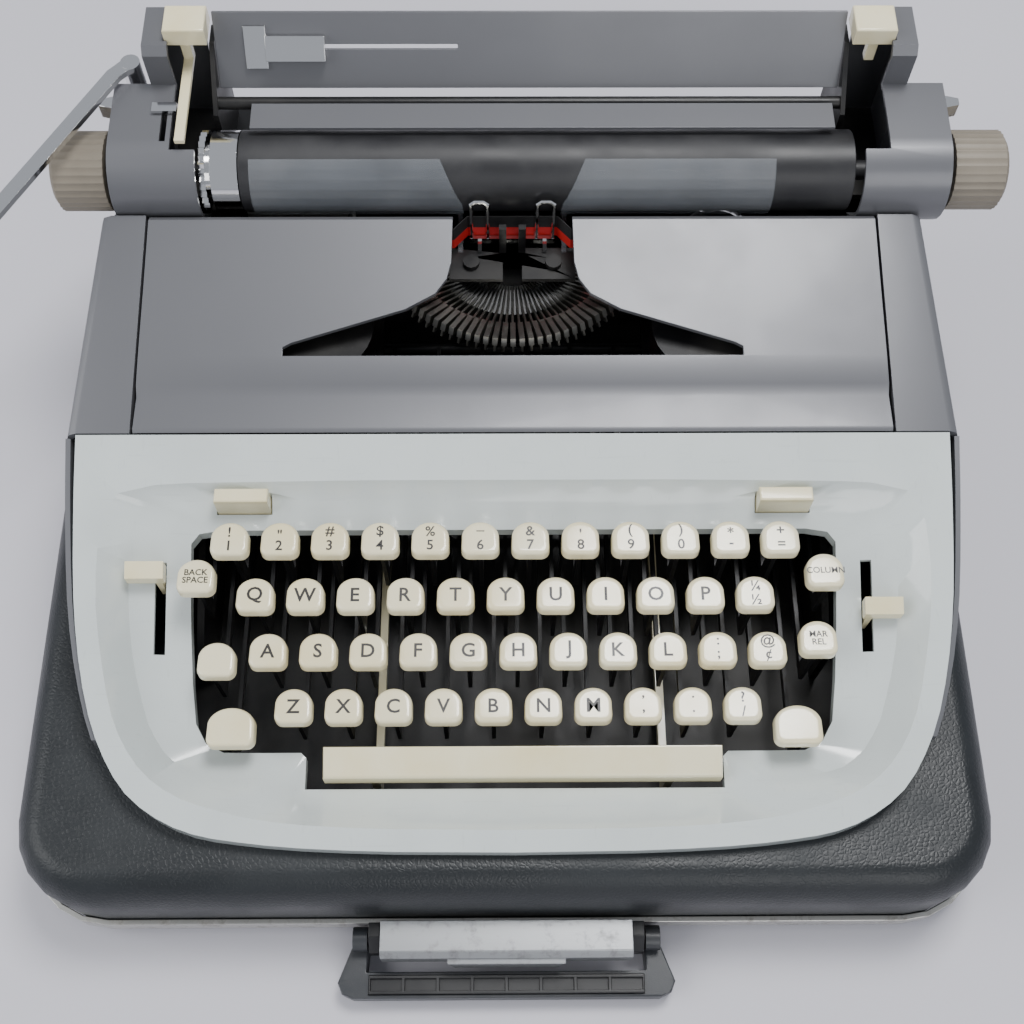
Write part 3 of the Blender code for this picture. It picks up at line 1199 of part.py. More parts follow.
def type_mechanism():
    """Slotted segment, the fan of type bars on its ring, and the H bar on its own pivot."""
    middle = BAR_COUNT // 2
    angles = fan_angles()
    half_thickness = BAR_THICKNESS / 2
    shanks, slugs = [], []
    ring_drop = BAR_HUB + SEAT_GAP + RING_RADIUS
    for index, angle in enumerate(angles):
        if index == middle:
            continue
        shank = plate([bar_outline(ring_drop)], "YZ", -half_thickness, half_thickness)
        shanks.append(placed(shank, fan_matrix(angle)))
        slugs.append(placed(slug_block(), fan_matrix(angle)))
    ring_points = []
    for angle in angles:
        x, y, z = fan_matrix(angle) @ Vector((0, PIVOT_RADIUS, PIVOT_Z - ring_drop))
        ring_points.append((x, y, z))
    ring = wire(ring_points, RING_RADIUS, 8)
    add_part("type_bars", join(ring, together(*shanks), together(*slugs)), "bright_steel")

    shank = plate([bar_outline(BAR_HUB)], "YZ", -half_thickness, half_thickness)
    h_bar = placed(join(shank, slug_block()), fan_matrix(0))
    add_part("h_type_bar", h_bar, "bright_steel", (0, PRINT_Y - PIVOT_RADIUS, PIVOT_Z))

    reach = FAN_ANGLE / 2 + SEGMENT_MARGIN
    start = -math.pi / 2 - reach
    stop = -math.pi / 2 + reach
    outer = arc((0, PRINT_Y), SEGMENT_OUTER, start, stop, 25)
    inner = arc((0, PRINT_Y), SEGMENT_INNER, stop, start, 25)
    block = plate([outer + inner], "XY", SEGMENT_LOW_Z, SEGMENT_TOP_Z)
    slots = []
    floor_z = PIVOT_Z - BAR_HEIGHT / 2 - RUNNING_GAP
    for angle in angles:
        slot = box((-SLOT_WIDTH / 2, SEGMENT_INNER - OVERRUN / 2, floor_z),
                   (SLOT_WIDTH / 2, SEGMENT_OUTER + OVERRUN, SEGMENT_TOP_Z + OVERRUN))
        slots.append(placed(slot, fan_matrix(angle)))
    ends = together(slots[0], slots[2], *slots[4::2])
    odd = together(slots[1], *slots[3::2])
    add_part("type_segment", cut(block, ends, odd), "frame_black")


def type_guide():
    """Bridge plate over the pivots with the fork that steadies each bar as it strikes."""
    outline = [(-GUIDE_HALF_WIDTH, GUIDE_FRONT_Y), (-GUIDE_SLOT / 2, GUIDE_FRONT_Y),
               (-GUIDE_SLOT / 2, GUIDE_REAR_Y - PRONG_DEPTH), (GUIDE_SLOT / 2, GUIDE_REAR_Y - PRONG_DEPTH),
               (GUIDE_SLOT / 2, GUIDE_FRONT_Y), (GUIDE_HALF_WIDTH, GUIDE_FRONT_Y),
               (GUIDE_HALF_WIDTH, GUIDE_REAR_Y), (-GUIDE_HALF_WIDTH, GUIDE_REAR_Y)]
    base = plate([outline], "XY", GUIDE_Z, GUIDE_Z + GUIDE_THICKNESS)
    prong_x = PRONG_GAP / 2
    prong = box((prong_x, GUIDE_REAR_Y - PRONG_DEPTH + MERGE, GUIDE_Z + WELD),
                (prong_x + PRONG_WIDTH, GUIDE_REAR_Y - MERGE, PRONG_TOP_Z))
    screw = rod((GUIDE_SCREW_X, GUIDE_SCREW_Y, GUIDE_Z + WELD),
                (GUIDE_SCREW_X, GUIDE_SCREW_Y, GUIDE_Z + GUIDE_THICKNESS + GUIDE_SCREW_HEIGHT), GUIDE_SCREW_RADIUS, 12)
    add_part("type_guide", join(base, mirrored(prong), mirrored(screw)), "frame_black")


def ribbon_vibrator():
    """Wire carrier that holds the ribbon in two loops in front of the platen."""
    y = PRINT_Y - RUNNING_GAP - 3 * LOOP_WIRE
    foot_z = GUIDE_Z + GUIDE_THICKNESS + SEAT_GAP + LOOP_WIRE
    foot_y = GUIDE_REAR_Y - PRONG_DEPTH
    loops = []
    for side in (-1, 1):
        x = side * LOOP_X
        bend = LOOP_HALF_WIDTH * 0.5
        loops.append([(x - LOOP_HALF_WIDTH, y, RIBBON_LOW_Z), (x - LOOP_HALF_WIDTH, y, LOOP_TOP_Z - bend),
                      (x - bend, y, LOOP_TOP_Z), (x + bend, y, LOOP_TOP_Z),
                      (x + LOOP_HALF_WIDTH, y, LOOP_TOP_Z - bend), (x + LOOP_HALF_WIDTH, y, RIBBON_LOW_Z)])
    low_z = RIBBON_LOW_Z - 2 * LOOP_WIRE
    span = LOOP_X + LOOP_HALF_WIDTH + LOOP_WIRE
    bar = box((-span, y - LOOP_WIRE, low_z - LOOP_WIRE), (span, y + LOOP_WIRE, RIBBON_LOW_Z + LOOP_WIRE))
    tongues = [box((x - LOOP_WIRE, foot_y, foot_z - LOOP_WIRE), (x + LOOP_WIRE, y, foot_z + LOOP_WIRE))
               for x in (-LOOP_X, LOOP_X)]
    wires = [wire(points, LOOP_WIRE, 8) for points in loops]
    add_part("ribbon_vibrator", join(bar, together(*wires), together(*tongues)), "chrome")


def ribbon():
    """Two-colour ribbon from spool to spool through the carrier."""
    y = PRINT_Y - RUNNING_GAP - LOOP_WIRE
    spool_edge = SPOOL_PACK_RADIUS + SEAT_GAP
    low = SPOOL_LOW_Z + SPOOL_FLANGE + SEAT_GAP
    half = RIBBON_THICKNESS / 2
    stations = [(SPOOL_X - spool_edge - half, SPOOL_Y, low), (RIBBON_LEAVE_X, RIBBON_LEAVE_Y, low),
                (RIBBON_TURN_X, RIBBON_BEND_Y, RIBBON_LOW_Z), (RIBBON_BEND_X, RIBBON_BEND_Y, RIBBON_LOW_Z),
                (RIBBON_STRAIGHT_X, y, RIBBON_LOW_Z)]
    whole = stations + [(-x, v, z) for x, v, z in reversed(stations)]
    rings = []
    for index, (x, v, z) in enumerate(whole):
        before = Vector(whole[max(index - 1, 0)][:2])
        after = Vector(whole[min(index + 1, len(whole) - 1)][:2])
        along = (after - before).normalized()
        across = Vector((-along.y, along.x)) * half
        rings.append([(x + across.x, v + across.y, z), (x - across.x, v - across.y, z),
                      (x - across.x, v - across.y, z + RIBBON_HEIGHT), (x + across.x, v + across.y, z + RIBBON_HEIGHT)])
    add_part("ribbon", loft(rings), "ribbon_cloth")


def ribbon_spools():
    """Two flanged spools with their wound ribbon."""
    top = SPOOL_HEIGHT
    flange = SPOOL_FLANGE
    profile = [(SPOOL_BORE, top), (SPOOL_RADIUS, top), (SPOOL_RADIUS, top - flange), (SPOOL_PACK_RADIUS, top - flange),
               (SPOOL_PACK_RADIUS, flange), (SPOOL_RADIUS, flange), (SPOOL_RADIUS, 0), (SPOOL_BORE, 0)]
    for side, name in ((-1, "ribbon_spool_left"), (1, "ribbon_spool_right")):
        place = (side * SPOOL_X, SPOOL_Y, SPOOL_LOW_Z)
        add_part(name, moved(turned(profile, 28), place), "frame_black", place)


def card_holders():
    """Two clear card holders curved to the platen, each with an arm to the bridge plate."""
    steps = 9
    for side, name in ((-1, "card_holder_left"), (1, "card_holder_right")):
        rings = []
        for index in range(steps):
            share = index / (steps - 1)
            angle = lerp(CARD_LOW_ANGLE, CARD_HIGH_ANGLE, share)
            inner_x = lerp(CARD_INNER_X, CARD_TOP_INNER_X, max(share - CARD_BEND_SHARE, 0) / (1 - CARD_BEND_SHARE))
            ring = []
            for x, radius in ((inner_x, CARD_INNER), (inner_x, CARD_OUTER), (CARD_OUTER_X, CARD_OUTER), (CARD_OUTER_X, CARD_INNER)):
                ring.append((side * x, PLATEN_Y - radius * math.cos(angle), PLATEN_Z + radius * math.sin(angle)))
            rings.append(ring)
        card = loft(rings)
        low_y = PLATEN_Y - CARD_OUTER * math.cos(CARD_LOW_ANGLE)
        low_z = PLATEN_Z + CARD_OUTER * math.sin(CARD_LOW_ANGLE)
        seat_z = GUIDE_Z + GUIDE_THICKNESS + SEAT_GAP
        arm_front = GUIDE_REAR_Y - PRONG_DEPTH
        profile = [(arm_front, seat_z), (low_y + SEAT_GAP, seat_z), (low_y + SEAT_GAP, low_z + CARD_ARM_THICKNESS),
                   (low_y - CARD_ARM_THICKNESS, low_z + CARD_ARM_THICKNESS),
                   (low_y - CARD_ARM_THICKNESS, seat_z + CARD_ARM_THICKNESS), (arm_front, seat_z + CARD_ARM_THICKNESS)]
        arm_x = CARD_INNER_X + CARD_ARM_INSET
        arm = plate([profile], "YZ", arm_x, arm_x + CARD_ARM_WIDTH)
        add_part(name, join(card, arm if side > 0 else flipped(arm)), "clear_plastic")


def carriage_bed():
    """Carriage frame: bed, rail lips, uprights and the feed rod."""
    left = LEVER_HUB_X - LEVER_HUB_RADIUS
    right = END_OUTER_X - END_WALL
    bed = box((left, BED_FRONT_Y, BED_LOW_Z), (right, BED_REAR_Y, BED_TOP_Z))
    lip_front = RAIL_FRONT_Y - SEAT_GAP - BED_LIP
    lip_rear = RAIL_FRONT_Y + RAIL_DEPTH + SEAT_GAP
    lips = together(box((left + WELD, lip_front, BED_LOW_Z - BED_LIP_DROP), (right - WELD, lip_front + BED_LIP, BED_LOW_Z + WELD)),
                    box((left + WELD, lip_rear, BED_LOW_Z - BED_LIP_DROP), (right - WELD, lip_rear + BED_LIP, BED_LOW_Z + WELD)))
    lean = (TABLE_HIGH_Y - TABLE_LOW_Y) / (TABLE_HIGH_Z - TABLE_LOW_Z)
    top_z = TABLE_LOW_Z + (TABLE_HIGH_Z - TABLE_LOW_Z) * 0.6
    top_y = TABLE_LOW_Y + lean * (top_z - TABLE_LOW_Z)
    back_y = BED_REAR_Y - BED_LIP
    profile = [(UPRIGHT_FRONT_Y, BED_TOP_Z - WELD), (back_y, BED_TOP_Z - WELD), (back_y, top_z), (top_y, top_z),
               (UPRIGHT_FRONT_Y, TABLE_LOW_Z - FEED_ROD_RADIUS)]
    low_x = TABLE_HALF_WIDTH + SEAT_GAP
    uprights = plate([profile], "YZ", low_x, low_x + UPRIGHT_THICKNESS)
    feed = rod((-low_x - WELD, FEED_ROD_Y, FEED_ROD_Z - FEED_ROD_RADIUS), (low_x + WELD, FEED_ROD_Y, FEED_ROD_Z - FEED_ROD_RADIUS),
               FEED_ROD_RADIUS, 12)
    whole = join(bed, lips, mirrored(uprights), feed)
    add_part("carriage_bed", moved(whole, (CARRIAGE_REST_X, 0, 0)), "frame_black")


def end_front(radius, inset):
    """Front part of an end cover, rounded round the platen, or its hollow when inset by the wall."""
    low_z = BED_TOP_Z + SEAT_GAP - (OVERRUN if inset else 0)
    front_y = BED_FRONT_Y - BED_THICKNESS
    rear_y = END_BLOCK_Y + WELD - inset
    profile = arc((PLATEN_Y, PLATEN_Z), radius, math.radians(END_LOW_ANGLE), math.pi / 2, 12)
    profile += [(END_STEP_Y, END_SHELF_Z - inset), (rear_y, END_SHELF_Z - inset), (rear_y, low_z), (front_y, low_z)]
    return plate([profile], "YZ", END_INNER_X - (OVERRUN if inset else 0), END_OUTER_X - inset)


def end_rear(inset):
    """Rear block of an end cover, which carries the margin key, or its hollow when inset by the wall."""
    low_z = BED_TOP_Z + SEAT_GAP - (OVERRUN if inset else 0)
    slope = END_SLOPE
    profile = [(END_STEP_Y, low_z), (END_STEP_Y, END_SHELF_Z - WELD - inset), (END_BLOCK_Y + inset, END_SHELF_Z - WELD - inset),
               (END_BLOCK_Y + inset, END_TOP_Z - slope - inset), (END_BLOCK_Y + slope + inset, END_TOP_Z - inset),
               (END_BACK_Y - slope - inset, END_TOP_Z - inset), (END_BACK_Y - inset, END_TOP_Z - slope - inset),
               (END_BACK_Y - inset, low_z)]
    return plate([profile], "YZ", END_INNER_X - (OVERRUN if inset else 0), END_TOP_X - inset)


def carriage_ends():
    """Hollow end covers, rounded round the platen, open inside so that the card holders pass through."""
    quarter = math.pi / 2
    for side, name in ((-1, "carriage_end_left"), (1, "carriage_end_right")):
        shell = join(end_front(END_OUTER, 0), end_rear(0))
        hollow = join(end_front(END_INNER, END_WALL), end_rear(END_WALL))
        solid_from = PLATEN_Y - SHAFT_RADIUS - END_WALL
        pass_through = arc((PLATEN_Y, PLATEN_Z), END_INNER, math.pi + quarter * 0.7, quarter * 1.12, 10)
        pass_through = [point for point in pass_through if point[0] < solid_from]
        pass_through += [(solid_from, pass_through[-1][1]), (solid_from, pass_through[0][1])]
        doorway = plate([pass_through], "YZ", END_INNER_X, END_OUTER_X + OVERRUN)
        shaft_hole = rod((END_INNER_X, PLATEN_Y, PLATEN_Z), (END_OUTER_X + OVERRUN, PLATEN_Y, PLATEN_Z), SHAFT_RADIUS + SEAT_GAP, 20)
        key_half = END_SLOT_WIDTH / 2
        slot = box((END_INNER_X - OVERRUN, MARGIN_ARM_FRONT_Y, PLATEN_Z + PLATEN_RADIUS),
                   (END_INNER_X + END_SLOT_WIDTH, MARGIN_KEY_Y + key_half, END_TOP_Z + OVERRUN))
        key_room = MARGIN_KEY_WIDTH / 2 + RUNNING_GAP
        key_half = MARGIN_KEY_DEPTH / 2 + RUNNING_GAP
        key_well = box((MARGIN_KEY_X - key_room, MARGIN_KEY_Y - key_half, MARGIN_ARM_Z),
                       (MARGIN_KEY_X + key_room, MARGIN_KEY_Y + key_half, END_TOP_Z + OVERRUN))
        body = cut(shell, hollow, doorway, shaft_hole, slot, key_well)
        if side < 0:
            body = flipped(body)
            half_slot = SPACING_STEM / 2 + RUNNING_GAP
            body = cut(body, box((SPACING_X - half_slot, SPACING_Y - SPACING_TRAVEL - SPACING_DEPTH / 2, PLATEN_Z),
                                 (SPACING_X + half_slot, SPACING_Y + SPACING_DEPTH / 2, END_TOP_Z + OVERRUN)))
        add_part(name, moved(body, (CARRIAGE_REST_X, 0, 0)), "grey_paint")


def platen_group():
    """Platen with its shaft, the ratchet wheel with its bright collar, and two ribbed knobs."""
    rest = CARRIAGE_REST_X
    axis = (rest, PLATEN_Y, PLATEN_Z)
    collar_end = -PLATEN_HALF_LENGTH + RATCHET_WIDTH + COLLAR_LENGTH
    rubber = rod((rest + collar_end + SEAT_GAP, PLATEN_Y, PLATEN_Z), (rest + PLATEN_HALF_LENGTH, PLATEN_Y, PLATEN_Z),
                 PLATEN_RADIUS, PLATEN_SIDES)
    shaft = rod((rest - KNOB_INNER_X + SEAT_GAP, PLATEN_Y, PLATEN_Z), (rest + KNOB_INNER_X - SEAT_GAP, PLATEN_Y, PLATEN_Z),
                SHAFT_RADIUS, 16)
    add_part("platen", join(rubber, shaft), "platen_rubber", axis)

    count = 2 * RATCHET_TEETH
    outline = []
    for index in range(count):
        angle = 2 * math.pi * index / count
        radius = PLATEN_RADIUS - (RATCHET_TOOTH if index % 2 else 0)
        outline.append((PLATEN_Y + radius * math.cos(angle), PLATEN_Z + radius * math.sin(angle)))
    left = rest - PLATEN_HALF_LENGTH
    wheel = plate([outline], "YZ", left - RATCHET_WIDTH, left)
    neck = rod((left - WELD, PLATEN_Y, PLATEN_Z), (left + RATCHET_NECK + WELD, PLATEN_Y, PLATEN_Z), PLATEN_RADIUS * 0.7, 20)
    collar = rod((left + RATCHET_NECK, PLATEN_Y, PLATEN_Z), (rest + collar_end, PLATEN_Y, PLATEN_Z), PLATEN_RADIUS, PLATEN_SIDES)
    bore = rod((left - OVERRUN, PLATEN_Y, PLATEN_Z), (rest + collar_end + OVERRUN, PLATEN_Y, PLATEN_Z), SHAFT_RADIUS + SEAT_GAP, 16)
    add_part("ratchet_wheel", cut(join(wheel, neck, collar), bore), "chrome", axis)

    points = 2 * KNOB_RIBS
    ribbed = []
    for index in range(points):
        angle = 2 * math.pi * index / points
        radius = KNOB_RADIUS - (KNOB_RIB_DEPTH if index % 2 else 0)
        ribbed.append((PLATEN_Y + radius * math.cos(angle), PLATEN_Z + radius * math.sin(angle)))
    for side, name in ((-1, "platen_knob_left"), (1, "platen_knob_right")):
        inner, outer = KNOB_INNER_X, KNOB_OUTER_X - KNOB_EDGE
        grip = plate([ribbed], "YZ", inner, outer)
        edge_radius = KNOB_RADIUS - 2 * KNOB_RIB_DEPTH
        cap = rod((outer - WELD, PLATEN_Y, PLATEN_Z), (KNOB_OUTER_X, PLATEN_Y, PLATEN_Z), edge_radius, 32, edge_radius - KNOB_EDGE)
        knob = join(grip, cap)
        knob = knob if side > 0 else flipped(knob)
        add_part(name, moved(knob, (rest, 0, 0)), "knob_taupe", axis)


def table_point(share, lift=0):
    """A point (y, z) up the paper table's front face, lifted off it by a distance."""
    lean = Vector((TABLE_HIGH_Y - TABLE_LOW_Y, TABLE_HIGH_Z - TABLE_LOW_Z)).normalized()
    normal = Vector((-lean.y, lean.x))
    y = lerp(TABLE_LOW_Y, TABLE_HIGH_Y, share) + normal.x * lift
    z = lerp(TABLE_LOW_Z, TABLE_HIGH_Z, share) + normal.y * lift
    return (y, z)


def paper_table_group():
    """Leaning paper table with its slot, and the paper guide that slides along it."""
    rest = CARRIAGE_REST_X
    thickness = TABLE_THICKNESS
    profile = [table_point(0), table_point(1), table_point(1, -thickness), table_point(0, -thickness)]
    sheet = plate([profile], "YZ", -TABLE_HALF_WIDTH, TABLE_HALF_WIDTH)
    half = TABLE_SLOT_HEIGHT / 2 / (TABLE_HIGH_Z - TABLE_LOW_Z)
    low, high = TABLE_SLOT_SHARE - half, TABLE_SLOT_SHARE + half
    slot_profile = [table_point(low, OVERRUN), table_point(high, OVERRUN), table_point(high, -OVERRUN), table_point(low, -OVERRUN)]
    slot = plate([slot_profile], "YZ", TABLE_SLOT_LEFT_X, TABLE_SLOT_RIGHT_X)
    add_part("paper_table", moved(cut(sheet, slot), (rest, 0, 0)), "grey_paint")

    block_half = GUIDE_BLOCK_HEIGHT / 2 / (TABLE_HIGH_Z - TABLE_LOW_Z)
    bottom, top = TABLE_SLOT_SHARE - block_half, TABLE_SLOT_SHARE + block_half
    block_profile = [table_point(bottom, SEAT_GAP), table_point(top, SEAT_GAP), table_point(top, GUIDE_BLOCK_DEPTH * 0.6),
                     table_point(TABLE_SLOT_SHARE, GUIDE_BLOCK_DEPTH), table_point(bottom, GUIDE_BLOCK_DEPTH)]
    left = GUIDE_BLOCK_X - GUIDE_BLOCK_WIDTH / 2
    block = plate([block_profile], "YZ", left, left + GUIDE_BLOCK_WIDTH)
    tongue_half = half - RUNNING_GAP / (TABLE_HIGH_Z - TABLE_LOW_Z)
    tongue_low, tongue_high = TABLE_SLOT_SHARE - tongue_half, TABLE_SLOT_SHARE + tongue_half
    tongue_profile = [table_point(tongue_low, SEAT_GAP + WELD), table_point(tongue_high, SEAT_GAP + WELD),
                      table_point(tongue_high, -2 * thickness), table_point(tongue_low, -2 * thickness)]
    tongue = plate([tongue_profile], "YZ", left + WELD, left + GUIDE_BLOCK_WIDTH / 2)
    blade_half = GUIDE_BLADE_LENGTH / 2 / (TABLE_HIGH_Z - TABLE_LOW_Z) * math.sin(math.radians(60))
    blade_profile = [table_point(TABLE_SLOT_SHARE - blade_half, SEAT_GAP), table_point(TABLE_SLOT_SHARE + blade_half, SEAT_GAP),
                     table_point(TABLE_SLOT_SHARE + blade_half, SEAT_GAP + GUIDE_BLADE_THICKNESS),
                     table_point(TABLE_SLOT_SHARE - blade_half, SEAT_GAP + GUIDE_BLADE_THICKNESS)]
    blade = plate([blade_profile], "YZ", GUIDE_BLADE_X - GUIDE_BLADE_WIDTH / 2, left + WELD)
    add_part("paper_guide", moved(join(block, tongue, blade), (rest, 0, 0)), "chrome")


def paper_bail():
    """Flat bail bar over the platen with an arm at each end, swinging about the feed rod."""
    rest = CARRIAGE_REST_X
    rod_z = FEED_ROD_Z - FEED_ROD_RADIUS
    bar = box((BAIL_LEFT_X, BAIL_FRONT_Y, BAIL_LOW_Z), (BAIL_RIGHT_X, BAIL_REAR_Y, BAIL_LOW_Z + BAIL_THICKNESS))
    seat_y = FEED_ROD_Y - FEED_ROD_RADIUS - SEAT_GAP
    arm_profile = [(BAIL_REAR_Y - 2 * BAIL_ARM, BAIL_LOW_Z + WELD), (BAIL_REAR_Y - 2 * BAIL_ARM, BAIL_LOW_Z - BAIL_THICKNESS),
                   (seat_y, rod_z - BAIL_ARM / 2), (seat_y, rod_z + BAIL_ARM), (BAIL_REAR_Y, BAIL_LOW_Z + WELD)]
    arms = together(plate([arm_profile], "YZ", BAIL_LEFT_X + WELD, BAIL_LEFT_X + BAIL_ARM),
                    plate([arm_profile], "YZ", BAIL_RIGHT_X - BAIL_ARM, BAIL_RIGHT_X - WELD))
    pivot = (rest, FEED_ROD_Y, rod_z)
    add_part("paper_bail", moved(join(bar, arms), (rest, 0, 0)), "grey_paint", pivot)


def margin_keys():
    """Margin-setting keys at the top of the end covers; the left one carries the long beige arm."""
    rest = CARRIAGE_REST_X
    low_z = MARGIN_KEY_TOP_Z - MARGIN_KEY_HEIGHT
    half_w, half_d = MARGIN_KEY_WIDTH / 2, MARGIN_KEY_DEPTH / 2
    stem_half = MARGIN_STEM_WIDTH / 2
    stem_x = END_INNER_X + END_SLOT_WIDTH / 2
    for side, name in ((-1, "margin_key_left"), (1, "margin_key_right")):
        cap = box((MARGIN_KEY_X - half_w, MARGIN_KEY_Y - half_d, low_z), (MARGIN_KEY_X + half_w, MARGIN_KEY_Y + half_d, MARGIN_KEY_TOP_Z))
        cap = bevelled(cap, KEY_EDGE, 2, level_edge(MARGIN_KEY_TOP_Z))
        stem = box((stem_x - stem_half, MARGIN_KEY_Y - stem_half, MARGIN_ARM_Z), (stem_x + stem_half, MARGIN_KEY_Y + stem_half, low_z + WELD))
        key = join(cap, stem)
        if side < 0:
            arm = box((stem_x - stem_half, MARGIN_ARM_FRONT_Y + RUNNING_GAP, MARGIN_ARM_Z - WELD),
                      (stem_x + stem_half, MARGIN_KEY_Y + stem_half - WELD, MARGIN_ARM_Z + LEVER_THICKNESS))
            key = flipped(join(key, arm))
        place = (rest + side * MARGIN_KEY_X, MARGIN_KEY_Y, MARGIN_KEY_TOP_Z)
        add_part(name, moved(key, (rest, 0, 0)), "key_cream", place)


def flat_bar(points, width, depth):
    """A flat level bar that follows points in plan, with mitred corners."""
    rings = []
    for index, (x, y, z) in enumerate(points):
        before = Vector(points[max(index - 1, 0)][:2])
        after = Vector(points[min(index + 1, len(points) - 1)][:2])
        along = (after - before).normalized()
        across = Vector((-along.y, along.x)) * width / 2
        rings.append([(x + across.x, y + across.y, z - depth / 2), (x - across.x, y - across.y, z - depth / 2),
                      (x - across.x, y - across.y, z + depth / 2), (x + across.x, y + across.y, z + depth / 2)])
    return loft(rings)


def carriage_levers():
    """Line-return lever, line-spacing tab and the two carriage release levers."""
    rest = CARRIAGE_REST_X
    hub = rod((LEVER_HUB_X, LEVER_HUB_Y, BED_TOP_Z + SEAT_GAP), (LEVER_HUB_X, LEVER_HUB_Y, LEVER_Z + LEVER_DEPTH / 2), LEVER_HUB_RADIUS, 16)
    arm = flat_bar([(LEVER_HUB_X, LEVER_HUB_Y, LEVER_Z), (LEVER_BEND_X, LEVER_BEND_Y, LEVER_Z), (LEVER_TIP_X + LEVER_WIDTH / 2, LEVER_TIP_Y, LEVER_Z)],
                   LEVER_WIDTH, LEVER_DEPTH * 0.98)
    tip = rod((LEVER_TIP_X + LEVER_WIDTH / 2, LEVER_TIP_Y, LEVER_Z - LEVER_DEPTH / 2), (LEVER_TIP_X + LEVER_WIDTH / 2, LEVER_TIP_Y, LEVER_Z + LEVER_DEPTH / 2),
              LEVER_WIDTH / 2, 16)
    place = (rest + LEVER_HUB_X, LEVER_HUB_Y, LEVER_Z)
    add_part("return_lever", moved(join(hub, arm, tip), (rest, 0, 0)), "chrome", place)

    half_w, half_d = SPACING_WIDTH / 2, SPACING_DEPTH / 2
    low_z = END_SHELF_Z + SEAT_GAP
    tab = box((SPACING_X - half_w, SPACING_Y - half_d, low_z), (SPACING_X + half_w, SPACING_Y + half_d, low_z + SPACING_THICKNESS))
    stem = box((SPACING_X - SPACING_STEM / 2, SPACING_Y - half_d + WELD, low_z - 4 * SPACING_THICKNESS),
               (SPACING_X + SPACING_STEM / 2, SPACING_Y + half_d - WELD, low_z + WELD))
    add_part("line_space_lever", moved(join(tab, stem), (rest, 0, 0)), "chrome", (rest + SPACING_X, SPACING_Y, low_z))

    for side, name in ((-1, "carriage_release_left"), (1, "carriage_release_right")):
        start = END_OUTER_X + SEAT_GAP
        outline = [(start, RELEASE_Y - RELEASE_DEPTH / 2), (start + RELEASE_REACH, RELEASE_Y - RELEASE_DEPTH / 4),
                   (start + RELEASE_REACH, RELEASE_Y + RELEASE_DEPTH / 4), (start, RELEASE_Y + RELEASE_DEPTH / 2)]
        lever = plate([outline], "XY", RELEASE_Z, RELEASE_Z + RELEASE_HEIGHT)
        lever = lever if side > 0 else flipped(lever)
        place = (rest + side * start, RELEASE_Y, RELEASE_Z)
        add_part(name, moved(lever, (rest, 0, 0)), "chrome", place)


def drive_parts():
    """Mainspring drum that pulls the carriage, and the margin bell."""
    hub, radius, height = DRUM_HUB, DRUM_RADIUS, DRUM_HEIGHT
    profile = [(0, height), (radius, height), (radius, height - DRUM_FLANGE), (radius - DRUM_FLANGE, height - DRUM_FLANGE),
               (radius - DRUM_FLANGE, DRUM_FLANGE), (radius, DRUM_FLANGE), (radius, 0), (0, 0)]
    drum_place = (DRUM_X, DRUM_Y, DRUM_LOW_Z)
    add_part("mainspring_drum", moved(turned(profile, 28), drum_place), "bright_steel", drum_place)

    radius, height, wall = BELL_RADIUS, BELL_HEIGHT, BELL_WALL
    outer = [(radius * math.cos(angle), height * math.sin(angle)) for angle in BELL_ANGLES]
    inner = [((radius - wall) * math.cos(angle), (height - wall) * math.sin(angle)) for angle in reversed(BELL_ANGLES)]
    add_part("bell", moved(turned([(0, height)] + outer + inner + [(0, height - wall)]), (BELL_X, BELL_Y, BELL_LOW_Z)), "chrome")


def key_outline(width, depth, corner):
    """Outline of a key top: round at the back, flat in front with round corners."""
    half, front = width / 2, -depth / 2
    quarter = math.pi / 2
    right = arc((half - corner, front + corner), corner, -quarter, 0, 3)
    rear = [(half * math.cos(angle), depth / 2 * math.sin(angle)) for angle in KEY_REAR_ANGLES]
    left = arc((corner - half, front + corner), corner, math.pi, math.pi + quarter, 3)
    return right + rear + left


def key_top(x, y, top_z, width=KEY_WIDTH, depth=KEY_DEPTH):
    """One key top with a slight taper and a softened upper edge."""
    levels = ((top_z - KEY_HEIGHT, 0), (top_z - KEY_EDGE, KEY_TAPER), (top_z, KEY_TAPER + KEY_EDGE))
    rings = []
    for z, inset in levels:
        outline = key_outline(width - 2 * inset, depth - 2 * inset, KEY_CORNER)
        rings.append([(x + u, y + v, z) for u, v in outline])
    return loft(rings)


def key_lever(x, y, top_z, band_z, pivot_y):
    """Stem and lever of one key, cut from one sheet, from the key top back to its pivot."""
    half_stem, half_lever = STEM_DEPTH / 2, LEVER_HEIGHT / 2
    high_z = top_z - KEY_HEIGHT + WELD
    outline = [(y - half_stem, high_z), (y - half_stem, band_z - half_lever), (pivot_y, band_z - half_lever),
               (pivot_y, band_z + half_lever), (y + half_stem, band_z + half_lever), (y + half_stem, high_z)]
    return plate([outline], "YZ", x - LEVER_THICKNESS / 2, x + LEVER_THICKNESS / 2)


